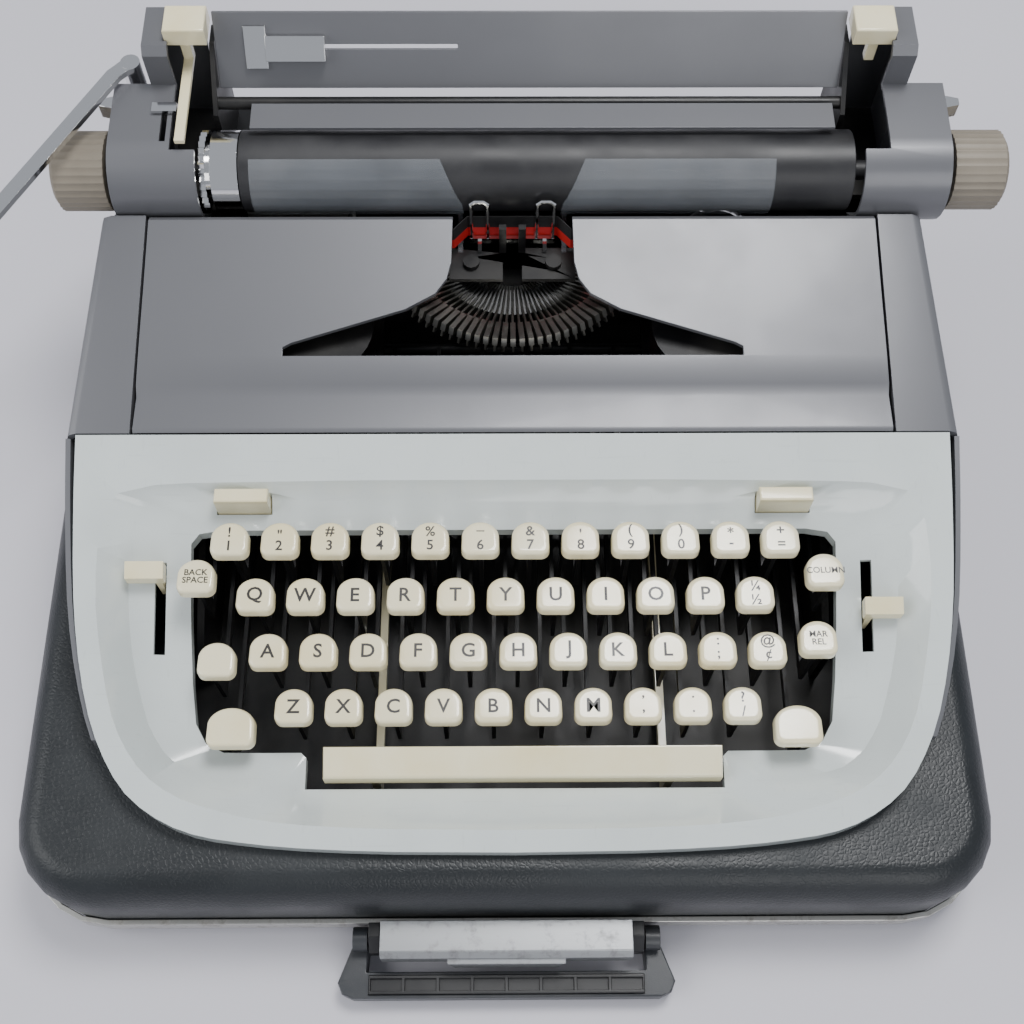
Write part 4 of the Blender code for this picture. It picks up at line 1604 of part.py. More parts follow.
def typing_keys():
    """Four rows of letter keys, each row on its own rear bar, and the H key on its own lever."""
    names = ("number_row_keys", "upper_row_keys", "home_row_keys", "lower_row_keys")
    reach = FRAME_SIDE_X - SEAT_GAP
    last = len(names) - 1
    for row, name in enumerate(names):
        steps = last - row
        y = steps * KEY_PITCH
        top_z = LOW_ROW_TOP_Z + steps * ROW_RISE
        band_z = LOW_LEVER_Z + steps * LEVER_RISE
        pivot = (0, ROW_PIVOT_Y, band_z)
        tops, levers = [], []
        for column in range(ROW_COUNTS[row]):
            x = FIRST_KEY_X + (ROW_STAGGER_SHARES[row] + column) * KEY_PITCH
            if row == H_ROW and column == H_COLUMN:
                rear_y = ROW_PIVOT_Y - ROW_BAR_RADIUS - SEAT_GAP
                key = join(key_lever(x, y, top_z, band_z, rear_y), key_top(x, y, top_z))
                add_part("h_key", key, "key_cream", pivot)
                continue
            tops.append(key_top(x, y, top_z))
            levers.append(key_lever(x, y, top_z, band_z, ROW_PIVOT_Y))
        bar = rod((-reach, ROW_PIVOT_Y, band_z), (reach, ROW_PIVOT_Y, band_z), ROW_BAR_RADIUS, 10)
        add_part(name, join(bar, together(*levers), together(*tops)), "key_cream", pivot)


def space_bar():
    """Space bar with a sloping top on two long arms and a cross shaft."""
    left, right = SPACE_X - SPACE_HALF_WIDTH, SPACE_X + SPACE_HALF_WIDTH
    profile = [(SPACE_FRONT_Y, SPACE_FRONT_Z), (SPACE_FRONT_Y, SPACE_FRONT_Z - SPACE_HEIGHT),
               (SPACE_REAR_Y, SPACE_REAR_Z - SPACE_HEIGHT), (SPACE_REAR_Y, SPACE_REAR_Z)]
    bar = plate([profile], "YZ", left, right)
    bar = bevelled(bar, SPACE_EDGE, 2, lambda edge: all(vert.co.z > SPACE_FRONT_Z - MERGE for vert in edge.verts))
    stem_y = (SPACE_FRONT_Y + SPACE_REAR_Y) / 2
    half_stem, half_lever = STEM_DEPTH / 2, LEVER_HEIGHT / 2
    high_z = SPACE_FRONT_Z - SPACE_HEIGHT + half_stem
    outline = [(stem_y - half_stem, high_z), (stem_y - half_stem, SPACE_ARM_Z - half_lever),
               (SPACE_PIVOT_Y, SPACE_ARM_Z - half_lever), (SPACE_PIVOT_Y, SPACE_ARM_Z + half_lever),
               (stem_y + half_stem, SPACE_ARM_Z + half_lever), (stem_y + half_stem, high_z)]
    arms = [plate([outline], "YZ", x - LEVER_THICKNESS, x + LEVER_THICKNESS)
            for x in (SPACE_X - SPACE_ARM_X, SPACE_X + SPACE_ARM_X)]
    reach = FRAME_SIDE_X - SEAT_GAP
    shaft = rod((-reach, SPACE_PIVOT_Y, SPACE_ARM_Z), (reach, SPACE_PIVOT_Y, SPACE_ARM_Z), SIDE_PIN_RADIUS, 10)
    pivot = (0, SPACE_PIVOT_Y, SPACE_ARM_Z)
    add_part("space_bar", join(shaft, together(*arms), bar), "key_cream", pivot)


def shift_keys():
    """Both shift keys on one cross shaft, so that they go down together."""
    reach = FRAME_SIDE_X - SEAT_GAP
    shaft = rod((-reach, SIDE_PIVOT_Y, SHIFT_LEVER_Z), (reach, SIDE_PIVOT_Y, SHIFT_LEVER_Z), SIDE_PIN_RADIUS, 10)
    tops = [key_top(x, SHIFT_KEY_Y, SHIFT_KEY_TOP_Z, SHIFT_KEY_WIDTH, SHIFT_KEY_DEPTH)
            for x in (-SHIFT_KEY_X, SHIFT_KEY_X)]
    levers = [key_lever(x, SHIFT_KEY_Y, SHIFT_KEY_TOP_Z, SHIFT_LEVER_Z, SIDE_PIVOT_Y)
              for x in (-SHIFT_LEVER_X, SHIFT_LEVER_X)]
    pivot = (0, SIDE_PIVOT_Y, SHIFT_LEVER_Z)
    add_part("shift_keys", join(shaft, together(*levers), together(*tops)), "key_cream", pivot)


def side_keys():
    """Shift lock, back space, column and margin release keys, each on a lever with its own pin."""
    table = (
        ("shift_lock", LOCK_KEY_X, LOCK_KEY_Y, LOCK_KEY_TOP_Z, LOCK_LEVER_X, LOCK_LEVER_Z),
        ("back_space_key", BACK_SPACE_X, BACK_SPACE_Y, BACK_SPACE_TOP_Z, BACK_SPACE_LEVER_X, HIGH_LEVER_Z),
        ("column_key", COLUMN_KEY_X, COLUMN_KEY_Y, COLUMN_KEY_TOP_Z, COLUMN_LEVER_X, HIGH_LEVER_Z),
        ("margin_release_key", RELEASE_KEY_X, RELEASE_KEY_Y, RELEASE_KEY_TOP_Z, RELEASE_LEVER_X, LOCK_LEVER_Z),
    )
    for name, x, y, top_z, lever_x, band_z in table:
        side = math.copysign(1, x)
        pin = rod((lever_x, SIDE_PIVOT_Y, band_z), (side * (FRAME_SIDE_X - SEAT_GAP), SIDE_PIVOT_Y, band_z),
                  SIDE_PIN_RADIUS, 10)
        key = join(pin, key_lever(lever_x, y, top_z, band_z, SIDE_PIVOT_Y), key_top(x, y, top_z))
        add_part(name, key, "key_cream", (lever_x, SIDE_PIVOT_Y, band_z))


def stop_keys():
    """Two tab-stop keys that stand in windows of the surround's back slope."""
    half = STOP_KEY_WIDTH / 2
    low_z = STOP_KEY_TOP_Z - STOP_KEY_HEIGHT
    for side, name in ((-1, "column_clear_key"), (1, "column_set_key")):
        tab = box((STOP_KEY_X - half, STOP_KEY_Y - STOP_KEY_DEPTH / 2, low_z),
                  (STOP_KEY_X + half, STOP_KEY_Y + STOP_KEY_DEPTH / 2, STOP_KEY_TOP_Z))
        tab = bevelled(tab, KEY_EDGE, 2, level_edge(STOP_KEY_TOP_Z))
        stem = box((STOP_KEY_X - STOP_STEM_WIDTH / 2, STOP_KEY_Y - LEVER_THICKNESS / 2, STOP_STEM_LOW_Z),
                   (STOP_KEY_X + STOP_STEM_WIDTH / 2, STOP_KEY_Y + LEVER_THICKNESS / 2, low_z + WELD))
        key = join(tab, stem)
        key = key if side > 0 else flipped(key)
        add_part(name, key, "key_cream", (side * STOP_KEY_X, STOP_KEY_Y, STOP_KEY_TOP_Z))


def sliding_levers():
    """Touch control and ribbon selector: blocks that slide along slots in the bowl's side slopes."""
    rise = slider_height(SLIDER_SLOT_REAR_Y) - slider_height(SLIDER_SLOT_FRONT_Y)
    slope = rise / (SLIDER_SLOT_REAR_Y - SLIDER_SLOT_FRONT_Y)
    for side, name, y in ((-1, "touch_lever", TOUCH_LEVER_Y), (1, "ribbon_selector", SELECTOR_Y)):
        front, rear = y - SLIDER_DEPTH / 2, y + SLIDER_DEPTH / 2
        low_z = slider_height(y) + SLIDER_LIFT
        tilt = slope * SLIDER_DEPTH / 2
        profile = [(front, low_z - tilt), (rear, low_z + tilt), (rear, low_z + tilt + SLIDER_HEIGHT),
                   (front, low_z - tilt + SLIDER_HEIGHT)]
        block = plate([profile], "YZ", SLIDER_X - SLIDER_WIDTH / 2, SLIDER_X + SLIDER_WIDTH / 2)
        stem = box((SLIDER_SLOT_X - SLIDER_STEM / 2, front + WELD, low_z - SLIDER_STEM_DROP),
                   (SLIDER_SLOT_X + SLIDER_STEM / 2, rear - WELD, low_z + SLIDER_HEIGHT / 2))
        lever = join(block, stem)
        lever = lever if side > 0 else flipped(lever)
        add_part(name, lever, "key_cream", (side * SLIDER_X, y, low_z))


def main():
    """Build every piece under one datum that puts the origin at the middle of the base."""
    clear_scene()
    parts = collection("typewriter")
    workshop = collection("workshop")
    workshop.hide_render = True
    datum = bpy.data.objects.new("machine_datum", None)
    datum.location = (-ORIGIN_X, -ORIGIN_Y, 0)
    parts.objects.link(datum)
    case_base()
    case_trim()
    rubber_feet()
    case_handle()
    keyboard_surround()
    body_shell()
    ribbon_cover()
    main_frame()
    type_mechanism()
    type_guide()
    ribbon_vibrator()
    ribbon()
    ribbon_spools()
    card_holders()
    drive_parts()
    carriage_bed()
    carriage_ends()
    platen_group()
    paper_table_group()
    paper_bail()
    margin_keys()
    carriage_levers()
    typing_keys()
    space_bar()
    shift_keys()
    side_keys()
    stop_keys()
    sliding_levers()


main()
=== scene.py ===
"""Manual typewriter in the lower half of its carrying case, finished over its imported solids.

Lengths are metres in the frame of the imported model: +X to the typist's right, +Y to the back, +Z up.
"""

import json
import math

import bmesh
import bpy
from mathutils import Matrix, Vector

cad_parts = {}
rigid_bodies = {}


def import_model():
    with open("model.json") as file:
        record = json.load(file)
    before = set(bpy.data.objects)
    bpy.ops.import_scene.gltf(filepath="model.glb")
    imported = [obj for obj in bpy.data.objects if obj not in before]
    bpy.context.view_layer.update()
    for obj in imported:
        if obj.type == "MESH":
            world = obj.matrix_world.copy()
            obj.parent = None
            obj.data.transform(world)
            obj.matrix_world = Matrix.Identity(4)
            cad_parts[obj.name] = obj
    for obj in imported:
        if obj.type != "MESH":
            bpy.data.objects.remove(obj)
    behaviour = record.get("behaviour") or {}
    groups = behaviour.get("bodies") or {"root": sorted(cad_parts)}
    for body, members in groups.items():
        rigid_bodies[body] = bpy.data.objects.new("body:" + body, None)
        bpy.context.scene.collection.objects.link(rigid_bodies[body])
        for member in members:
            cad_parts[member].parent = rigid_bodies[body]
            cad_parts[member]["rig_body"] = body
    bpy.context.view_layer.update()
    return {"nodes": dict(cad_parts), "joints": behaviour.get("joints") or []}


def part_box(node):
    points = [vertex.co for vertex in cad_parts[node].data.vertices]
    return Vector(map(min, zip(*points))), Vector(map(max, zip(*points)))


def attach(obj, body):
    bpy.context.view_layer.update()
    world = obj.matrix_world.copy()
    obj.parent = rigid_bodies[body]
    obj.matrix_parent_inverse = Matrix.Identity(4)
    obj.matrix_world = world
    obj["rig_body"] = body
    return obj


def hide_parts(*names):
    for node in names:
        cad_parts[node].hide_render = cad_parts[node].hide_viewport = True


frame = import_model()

bl_info = {
    "name": "Manual typewriter",
    "version": (1, 0, 0),
    "blender": (4, 5, 0),
    "location": "3D View > Sidebar > Typewriter",
    "description": "Builds the finishes and fine parts of a manual typewriter in its case",
    "category": "Object",
}

MM = 0.001
LIFT = 0.03 * MM
EDGE_ROUND = 0.35 * MM
CASE_EDGE = 1.0 * MM
CASE_EDGE_SHARE = CASE_EDGE / EDGE_ROUND

# Letter keys
KEY_PITCH = 19.05 * MM
KEY_WIDTH = 14.6 * MM
KEY_DEPTH = 14.0 * MM
KEY_HEIGHT = 5.0 * MM
KEY_CORNER = 3.2 * MM
KEY_FACE_DROP = 0.02 * MM
KEY_LEVELS = ((0.0, -KEY_HEIGHT), (0.15 * MM, -1.5 * MM), (0.35 * MM, -0.7 * MM), (0.75 * MM, -0.25 * MM),
              (1.3 * MM, -0.04 * MM), (2.2 * MM, -0.03 * MM), (4.2 * MM, -KEY_FACE_DROP))
STEM_DEPTH = 6.0 * MM
LEVER_THICKNESS = 1.6 * MM
LEVER_HEIGHT = 5.0 * MM
FIRST_KEY_X = -105.05 * MM
SHIFT_KEY_WIDTH = 18.5 * MM
SHIFT_KEY_DEPTH = 15.5 * MM
SHIFT_KEY_X = 108.0 * MM
SHIFT_LEVER_X = 112.5 * MM
ROW_SHAFT_RADIUS = 2.4 * MM
SIDE_SHAFT_RADIUS = 2.0 * MM

# Signs on the keys
LETTER_SHIFT = -0.3 * MM
UPPER_SIGN_SHIFT = 2.7 * MM
LOWER_SIGN_SHIFT = -2.9 * MM
WORD_SHIFT = -0.2 * MM
TYPE_SIZE_SHARE = 1.38
TYPE_LINE_SHARE = 0.9
TYPE_WEIGHT_SHARE = 0.022

# Ribbon, measured down from the top of the type guide
RIBBON_REACH = 14.0 * MM
RED_BAND = 5.6 * MM

ROWS = (
    ("number_row_keys", 0.0, ("!1", '"2', "#3", "$4", "%5", "_6", "&7", "'8", "(9", ")0", "*-", "+=")),
    ("upper_row_keys", 0.5, ("Q", "W", "E", "R", "T", "Y", "U", "I", "O", "P", "¼½")),
    ("home_row_keys", 0.75, ("A", "S", "D", "F", "G", "H", "J", "K", "L", ":;", "@¢")),
    ("lower_row_keys", 1.25, ("Z", "X", "C", "V", "B", "N", "M", ",,", "..", "?/")),
)

# Camera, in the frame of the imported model
CAMERA_PLACE = Vector((-1.7 * MM, -233.3 * MM, 566.0 * MM))
CAMERA_YAW = math.radians(1.06)
CAMERA_TILT = math.radians(65.1)
CAMERA_ROLL = math.radians(0.755)
CAMERA_FOCAL_PIXELS = 1338.8
PICTURE_PIXELS = 1024


def rgb(*values):
    """A linear colour with full alpha from red, green and blue."""
    return (*values, 1.0)


class TypewriterFinishes(bpy.types.PropertyGroup):
    """Colours of the typewriter's finishes."""

    case_colour: bpy.props.FloatVectorProperty(
        name="Case", description="Colour of the pebbled case covering", subtype="COLOR", size=4,
        default=rgb(0.0085, 0.0110, 0.0130), min=0, max=1)
    paint_colour: bpy.props.FloatVectorProperty(
        name="Paint", description="Colour of the grey body paint", subtype="COLOR", size=4,
        default=rgb(0.145, 0.147, 0.158), min=0, max=1)
    surround_colour: bpy.props.FloatVectorProperty(
        name="Surround", description="Colour of the white keyboard surround", subtype="COLOR", size=4,
        default=rgb(0.62, 0.67, 0.66), min=0, max=1)
    key_colour: bpy.props.FloatVectorProperty(
        name="Keys", description="Colour of the key tops", subtype="COLOR", size=4,
        default=rgb(0.88, 0.81, 0.56), min=0, max=1)
    knob_colour: bpy.props.FloatVectorProperty(
        name="Knobs", description="Colour of the platen knobs", subtype="COLOR", size=4,
        default=rgb(0.23, 0.20, 0.155), min=0, max=1)
    ribbon_colour: bpy.props.FloatVectorProperty(
        name="Ribbon", description="Colour of the ribbon's lower half", subtype="COLOR", size=4,
        default=rgb(0.55, 0.012, 0.012), min=0, max=1)


class TypewriterSizes(bpy.types.PropertyGroup):
    """Sizes of the fine parts that the solids leave out."""

    edge_round: bpy.props.FloatProperty(
        name="Edge round", description="Radius that the visible edges are softened by", default=EDGE_ROUND,
        min=0, max=2 * MM, unit="LENGTH")
    letter_height: bpy.props.FloatProperty(
        name="Letter height", description="Height of the letters on the keys", default=5.6 * MM,
        min=1 * MM, max=8 * MM, unit="LENGTH")
    symbol_height: bpy.props.FloatProperty(
        name="Symbol height", description="Height of the stacked signs on the keys", default=4.1 * MM,
        min=1 * MM, max=6 * MM, unit="LENGTH")
    label_height: bpy.props.FloatProperty(
        name="Label height", description="Height of the words on the function keys", default=2.5 * MM,
        min=1 * MM, max=5 * MM, unit="LENGTH")


# Shared shader effects


def new_group(name, inputs, outputs):
    """An empty shader group with named sockets; gives its tree, its input node and its output node."""
    tree = bpy.data.node_groups.new(name, "ShaderNodeTree")
    for socket, kind, value in inputs:
        made = tree.interface.new_socket(socket, in_out="INPUT", socket_type=kind)
        if value is not None:
            made.default_value = value
    for socket, kind in outputs:
        tree.interface.new_socket(socket, in_out="OUTPUT", socket_type=kind)
    return tree, tree.nodes.new("NodeGroupInput"), tree.nodes.new("NodeGroupOutput")


def math_node(tree, operation, first, second, clamp=False):
    """A maths node on two values, each a socket or a number; gives its output."""
    node = tree.nodes.new("ShaderNodeMath")
    node.operation = operation
    node.use_clamp = clamp
    for socket, value in zip(node.inputs, (first, second)):
        if isinstance(value, (int, float)):
            socket.default_value = value
        else:
            tree.links.new(value, socket)
    return node.outputs[0]


def scaled_vector(tree, vector, scale):
    """A vector socket with each axis multiplied by a number."""
    node = tree.nodes.new("ShaderNodeVectorMath")
    node.operation = "MULTIPLY"
    node.inputs[1].default_value = scale
    tree.links.new(vector, node.inputs[0])
    return node.outputs[0]


def noise(tree, vector, scale, detail=3.0, roughness=0.5):
    """A noise texture on a vector; gives its value."""
    node = tree.nodes.new("ShaderNodeTexNoise")
    node.inputs["Detail"].default_value = detail
    node.inputs["Roughness"].default_value = roughness
    tree.links.new(vector, node.inputs["Vector"])
    if isinstance(scale, (int, float)):
        node.inputs["Scale"].default_value = scale
    else:
        tree.links.new(scale, node.inputs["Scale"])
    return node.outputs["Fac"]


def ramp(tree, value, low, high):
    """A value stretched so that low becomes 0 and high becomes 1."""
    node = tree.nodes.new("ShaderNodeMapRange")
    node.inputs["From Min"].default_value = low
    node.inputs["From Max"].default_value = high
    tree.links.new(value, node.inputs["Value"])
    return node.outputs["Result"]


EFFECT_INPUTS = (("Vector", "NodeSocketVector", None), ("Scale", "NodeSocketFloat", 1000.0))
EFFECT_OUTPUTS = (("Height", "NodeSocketFloat"), ("Mask", "NodeSocketFloat"))


def pebble_effect():
    """Pebbled covering: rounded cells with creases between, and wider patches of shine."""
    tree, given, result = new_group("Pebbled grain", EFFECT_INPUTS, EFFECT_OUTPUTS)
    wander = noise(tree, given.outputs["Vector"], 260.0, 2.0)
    shift = tree.nodes.new("ShaderNodeVectorMath")
    shift.operation = "MULTIPLY_ADD"
    tree.links.new(wander, shift.inputs[0])
    shift.inputs[1].default_value = (0.8 * MM, 0.8 * MM, 0.8 * MM)
    tree.links.new(given.outputs["Vector"], shift.inputs[2])
    cells = tree.nodes.new("ShaderNodeTexVoronoi")
    cells.feature = "DISTANCE_TO_EDGE"
    tree.links.new(shift.outputs[0], cells.inputs["Vector"])
    tree.links.new(given.outputs["Scale"], cells.inputs["Scale"])
    spread = tree.nodes.new("ShaderNodeMapRange")
    spread.interpolation_type = "SMOOTHSTEP"
    spread.inputs["From Max"].default_value = 0.30
    tree.links.new(cells.outputs["Distance"], spread.inputs["Value"])
    crease = spread.outputs["Result"]
    fine = noise(tree, given.outputs["Vector"], 5200.0, 2.0)
    height = math_node(tree, "ADD", crease, math_node(tree, "MULTIPLY", fine, 0.25))
    patches = ramp(tree, noise(tree, given.outputs["Vector"], 38.0, 4.0), 0.40, 0.66)
    tree.links.new(height, result.inputs["Height"])
    tree.links.new(patches, result.inputs["Mask"])
    return tree


def speckle_effect():
    """Fine orange peel of sprayed paint or moulded plastic, with soft cloudy dirt."""
    tree, given, result = new_group("Fine speckle", EFFECT_INPUTS, EFFECT_OUTPUTS)
    fine = noise(tree, given.outputs["Vector"], given.outputs["Scale"], 3.0)
    clouds = ramp(tree, noise(tree, given.outputs["Vector"], 24.0, 6.0, 0.6), 0.42, 0.72)
    dots = ramp(tree, noise(tree, given.outputs["Vector"], 900.0, 2.0), 0.66, 0.74)
    mask = math_node(tree, "ADD", clouds, math_node(tree, "MULTIPLY", dots, 0.35), clamp=True)
    tree.links.new(fine, result.inputs["Height"])
    tree.links.new(mask, result.inputs["Mask"])
    return tree


def brushed_effect():
    """Fine lines along X from rolling or polishing, with faint spots of tarnish."""
    tree, given, result = new_group("Brushed lines", EFFECT_INPUTS, EFFECT_OUTPUTS)
    stretched = scaled_vector(tree, given.outputs["Vector"], (0.04, 1.0, 1.0))
    lines = noise(tree, stretched, given.outputs["Scale"], 2.0)
    spots = ramp(tree, noise(tree, given.outputs["Vector"], 160.0, 5.0, 0.65), 0.52, 0.74)
    tree.links.new(lines, result.inputs["Height"])
    tree.links.new(spots, result.inputs["Mask"])
    return tree


def scratch_effect():
    """Thin scratches in two directions over a smooth gloss."""
    tree, given, result = new_group("Light scratches", EFFECT_INPUTS, EFFECT_OUTPUTS)
    first = scaled_vector(tree, given.outputs["Vector"], (0.10, 1.6, 1.0))
    second = scaled_vector(tree, given.outputs["Vector"], (1.5, 0.12, 1.0))
    one = ramp(tree, noise(tree, first, given.outputs["Scale"], 1.0), 0.69, 0.72)
    two = ramp(tree, noise(tree, second, given.outputs["Scale"], 1.0), 0.70, 0.73)
    clouds = ramp(tree, noise(tree, given.outputs["Vector"], 30.0, 5.0), 0.45, 0.75)
    both = math_node(tree, "ADD", one, two, clamp=True)
    tree.links.new(math_node(tree, "SUBTRACT", 1.0, both), result.inputs["Height"])
    mask = math_node(tree, "ADD", math_node(tree, "MULTIPLY", both, 0.6), clouds, clamp=True)
    tree.links.new(mask, result.inputs["Mask"])
    return tree


def mix_colours(tree, share, first, second):
    """A blend of two colours by a share; gives the colour socket."""
    node = tree.nodes.new("ShaderNodeMix")
    node.data_type = "RGBA"
    tree.links.new(share, node.inputs["Factor"])
    for socket, value in zip((node.inputs["A"], node.inputs["B"]), (first, second)):
        if isinstance(value, bpy.types.NodeSocket):
            tree.links.new(value, socket)
        else:
            socket.default_value = value
    return node.outputs["Result"]


def object_vector(tree):
    """The object coordinates of the surface."""
    return tree.nodes.new("ShaderNodeTexCoord").outputs["Object"]


def finish(name, effect, scale, colours, roughness, depth, metallic=0.0, coat=0.0):
    """A material whose colour, roughness and bump follow one of the shared effects."""
    made = bpy.data.materials.new(name)
    made.use_nodes = True
    tree = made.node_tree
    shader = tree.nodes["Principled BSDF"]
    used = tree.nodes.new("ShaderNodeGroup")
    used.node_tree = bpy.data.node_groups[effect]
    used.inputs["Scale"].default_value = scale
    tree.links.new(object_vector(tree), used.inputs["Vector"])
    tree.links.new(mix_colours(tree, used.outputs["Mask"], *colours), shader.inputs["Base Color"])
    spread = tree.nodes.new("ShaderNodeMapRange")
    spread.inputs["To Min"].default_value = roughness[0]
    spread.inputs["To Max"].default_value = roughness[1]
    tree.links.new(used.outputs["Mask"], spread.inputs["Value"])
    tree.links.new(spread.outputs["Result"], shader.inputs["Roughness"])
    bump = tree.nodes.new("ShaderNodeBump")
    bump.inputs["Strength"].default_value = 1.0
    bump.inputs["Distance"].default_value = depth
    tree.links.new(used.outputs["Height"], bump.inputs["Height"])
    tree.links.new(bump.outputs["Normal"], shader.inputs["Normal"])
    shader.inputs["Metallic"].default_value = metallic
    shader.inputs["Coat Weight"].default_value = coat
    shader.inputs["Coat Roughness"].default_value = 0.08
    made.diffuse_color = colours[0]
    return made


def darker(colour, share):
    """A colour multiplied by a share, alpha kept."""
    return (*[value * share for value in colour[:3]], 1.0)


def make_finishes(settings):
    """Every plain material of the typewriter."""
    pebble_effect()
    speckle_effect()
    brushed_effect()
    scratch_effect()
    case, paint = tuple(settings.case_colour), tuple(settings.paint_colour)
    white, cream = tuple(settings.surround_colour), tuple(settings.key_colour)
    knob = tuple(settings.knob_colour)
    finish("case covering", "Pebbled grain", 560.0, (case, darker(case, 1.25)), (0.40, 0.50), 0.055 * MM)
    finish("bright band", "Brushed lines", 1500.0, (rgb(0.60, 0.59, 0.55), rgb(0.30, 0.28, 0.25)), (0.28, 0.5),
           0.01 * MM, metallic=0.85)
    finish("foot rubber", "Fine speckle", 900.0, (rgb(0.02, 0.02, 0.02), rgb(0.06, 0.055, 0.05)),
           (0.7, 0.9), 0.05 * MM)
    finish("grip plastic", "Fine speckle", 1800.0, (rgb(0.030, 0.033, 0.038), rgb(0.06, 0.06, 0.062)),
           (0.34, 0.5), 0.03 * MM)
    finish("black plastic", "Fine speckle", 1500.0, (rgb(0.008, 0.008, 0.009), rgb(0.03, 0.03, 0.03)),
           (0.35, 0.6), 0.02 * MM)
    finish("grey paint", "Fine speckle", 1600.0, (paint, darker(paint, 0.95)), (0.36, 0.42), 0.004 * MM,
           metallic=0.35, coat=0.12)
    finish("plate metal", "Brushed lines", 2200.0, (rgb(0.36, 0.37, 0.38), rgb(0.20, 0.20, 0.20)),
           (0.34, 0.55), 0.012 * MM, metallic=0.7)
    finish("white gloss", "Light scratches", 420.0, (white, darker(white, 0.93)), (0.10, 0.22), 0.002 * MM,
           coat=0.6)
    finish("cream key", "Fine speckle", 700.0, (cream, (cream[0] * 0.93, cream[1] * 0.88, cream[2] * 0.74, 1.0)),
           (0.16, 0.30), 0.004 * MM, coat=0.5)
    finish("black frame", "Fine speckle", 1200.0, (rgb(0.006, 0.006, 0.007), rgb(0.03, 0.028, 0.025)),
           (0.35, 0.6), 0.02 * MM, metallic=0.2)
    finish("bright steel", "Brushed lines", 1800.0, (rgb(0.42, 0.41, 0.37), rgb(0.16, 0.15, 0.13)),
           (0.30, 0.55), 0.01 * MM, metallic=1.0)
    finish("blackened steel", "Brushed lines", 1800.0, (rgb(0.012, 0.012, 0.013), rgb(0.025, 0.022, 0.02)),
           (0.4, 0.6), 0.01 * MM, metallic=0.4)
    finish("dark steel", "Brushed lines", 1800.0, (rgb(0.10, 0.10, 0.10), rgb(0.04, 0.04, 0.04)),
           (0.35, 0.6), 0.01 * MM, metallic=0.9)
    finish("chrome", "Brushed lines", 900.0, (rgb(0.72, 0.72, 0.71), rgb(0.45, 0.44, 0.42)),
           (0.10, 0.28), 0.003 * MM, metallic=1.0)
    finish("platen rubber", "Fine speckle", 1000.0, (rgb(0.012, 0.012, 0.014), rgb(0.035, 0.035, 0.037)),
           (0.42, 0.62), 0.02 * MM)
    finish("knob plastic", "Fine speckle", 1100.0, (knob, darker(knob, 0.75)), (0.42, 0.6), 0.02 * MM)
    finish("black ink", "Fine speckle", 1500.0, (rgb(0.012, 0.010, 0.010), rgb(0.03, 0.025, 0.022)),
           (0.35, 0.5), 0.002 * MM)


def ribbon_finish(settings, edge_z):
    """Woven ribbon, black above a height and red below it."""
    made = finish("ribbon cloth", "Fine speckle", 3000.0, (rgb(0.008, 0.008, 0.009), rgb(0.02, 0.02, 0.02)),
                  (0.6, 0.8), 0.03 * MM)
    tree = made.node_tree
    shader = tree.nodes["Principled BSDF"]
    black = shader.inputs["Base Color"].links[0].from_socket
    axes = tree.nodes.new("ShaderNodeSeparateXYZ")
    tree.links.new(object_vector(tree), axes.inputs[0])
    above = math_node(tree, "GREATER_THAN", axes.outputs["Z"], edge_z)
    tree.links.new(mix_colours(tree, above, tuple(settings.ribbon_colour), black), shader.inputs["Base Color"])
    return made


def clear_finish():
    """Clear card holder plastic with a faint haze."""
    made = finish("clear plastic", "Light scratches", 500.0, (rgb(0.55, 0.60, 0.66), rgb(0.75, 0.78, 0.82)),
                  (0.10, 0.25), 0.002 * MM)
    tree = made.node_tree
    shader = tree.nodes["Principled BSDF"]
    haze = tree.nodes.new("ShaderNodeMapRange")
    haze.inputs["To Min"].default_value = 0.05
    haze.inputs["To Max"].default_value = 0.13
    clouds = noise(tree, object_vector(tree), 45.0, 4.0)
    tree.links.new(clouds, haze.inputs["Value"])
    tree.links.new(haze.outputs["Result"], shader.inputs["Alpha"])
    return made


# Mesh helpers


def new_piece(name, bm, body, *materials, slot=None):
    """A finished piece from a bmesh, riding on a CAD body."""
    mesh = bpy.data.meshes.new(name)
    bm.to_mesh(mesh)
    bm.free()
    mesh.shade_smooth()
    for material in materials:
        mesh.materials.append(bpy.data.materials[material])
    piece = bpy.data.objects.new(name, mesh)
    bpy.context.scene.collection.objects.link(piece)
    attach(piece, body)
    return piece


def add_modifier(piece, kind, **values):
    """A modifier on a piece with its settings."""
    made = piece.modifiers.new(kind.lower(), kind)
    for key, value in values.items():
        setattr(made, key, value)
    return made


def soften(piece, width, segments=2, angle=35):
    """Rounded edges and even shading on a piece with hard edges."""
    add_modifier(piece, "BEVEL", width=width, segments=segments, limit_method="ANGLE",
                 angle_limit=math.radians(angle), use_clamp_overlap=True)
    add_modifier(piece, "WEIGHTED_NORMAL", keep_sharp=True)


def merged_copy(node):
    """A bmesh of a CAD node with its loose triangles joined into flat faces."""
    bm = bmesh.new()
    bm.from_mesh(frame["nodes"][node].data)
    bmesh.ops.remove_doubles(bm, verts=bm.verts, dist=0.001 * MM)
    bmesh.ops.dissolve_limit(bm, angle_limit=math.radians(0.4), verts=bm.verts, edges=bm.edges)
    return bm


def refined(node, material, slot, width, segments=2, angle=35):
    """A softened copy of a CAD node that stands for it."""
    piece = new_piece(f"{node}_finished", merged_copy(node), frame["nodes"][node]["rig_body"], material, slot=slot)
    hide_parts(node)
    soften(piece, width, segments, angle)
    return piece


def add_box(bm, low, high, material=0):
    """A box between two corners, added to a bmesh."""
    low, high = Vector(low), Vector(high)
    made = bmesh.ops.create_cube(bm, size=1.0)["verts"]
    bmesh.ops.scale(bm, vec=high - low, verts=made)
    bmesh.ops.translate(bm, vec=(low + high) / 2, verts=made)
    for face in {face for vert in made for face in vert.link_faces}:
        face.material_index = material


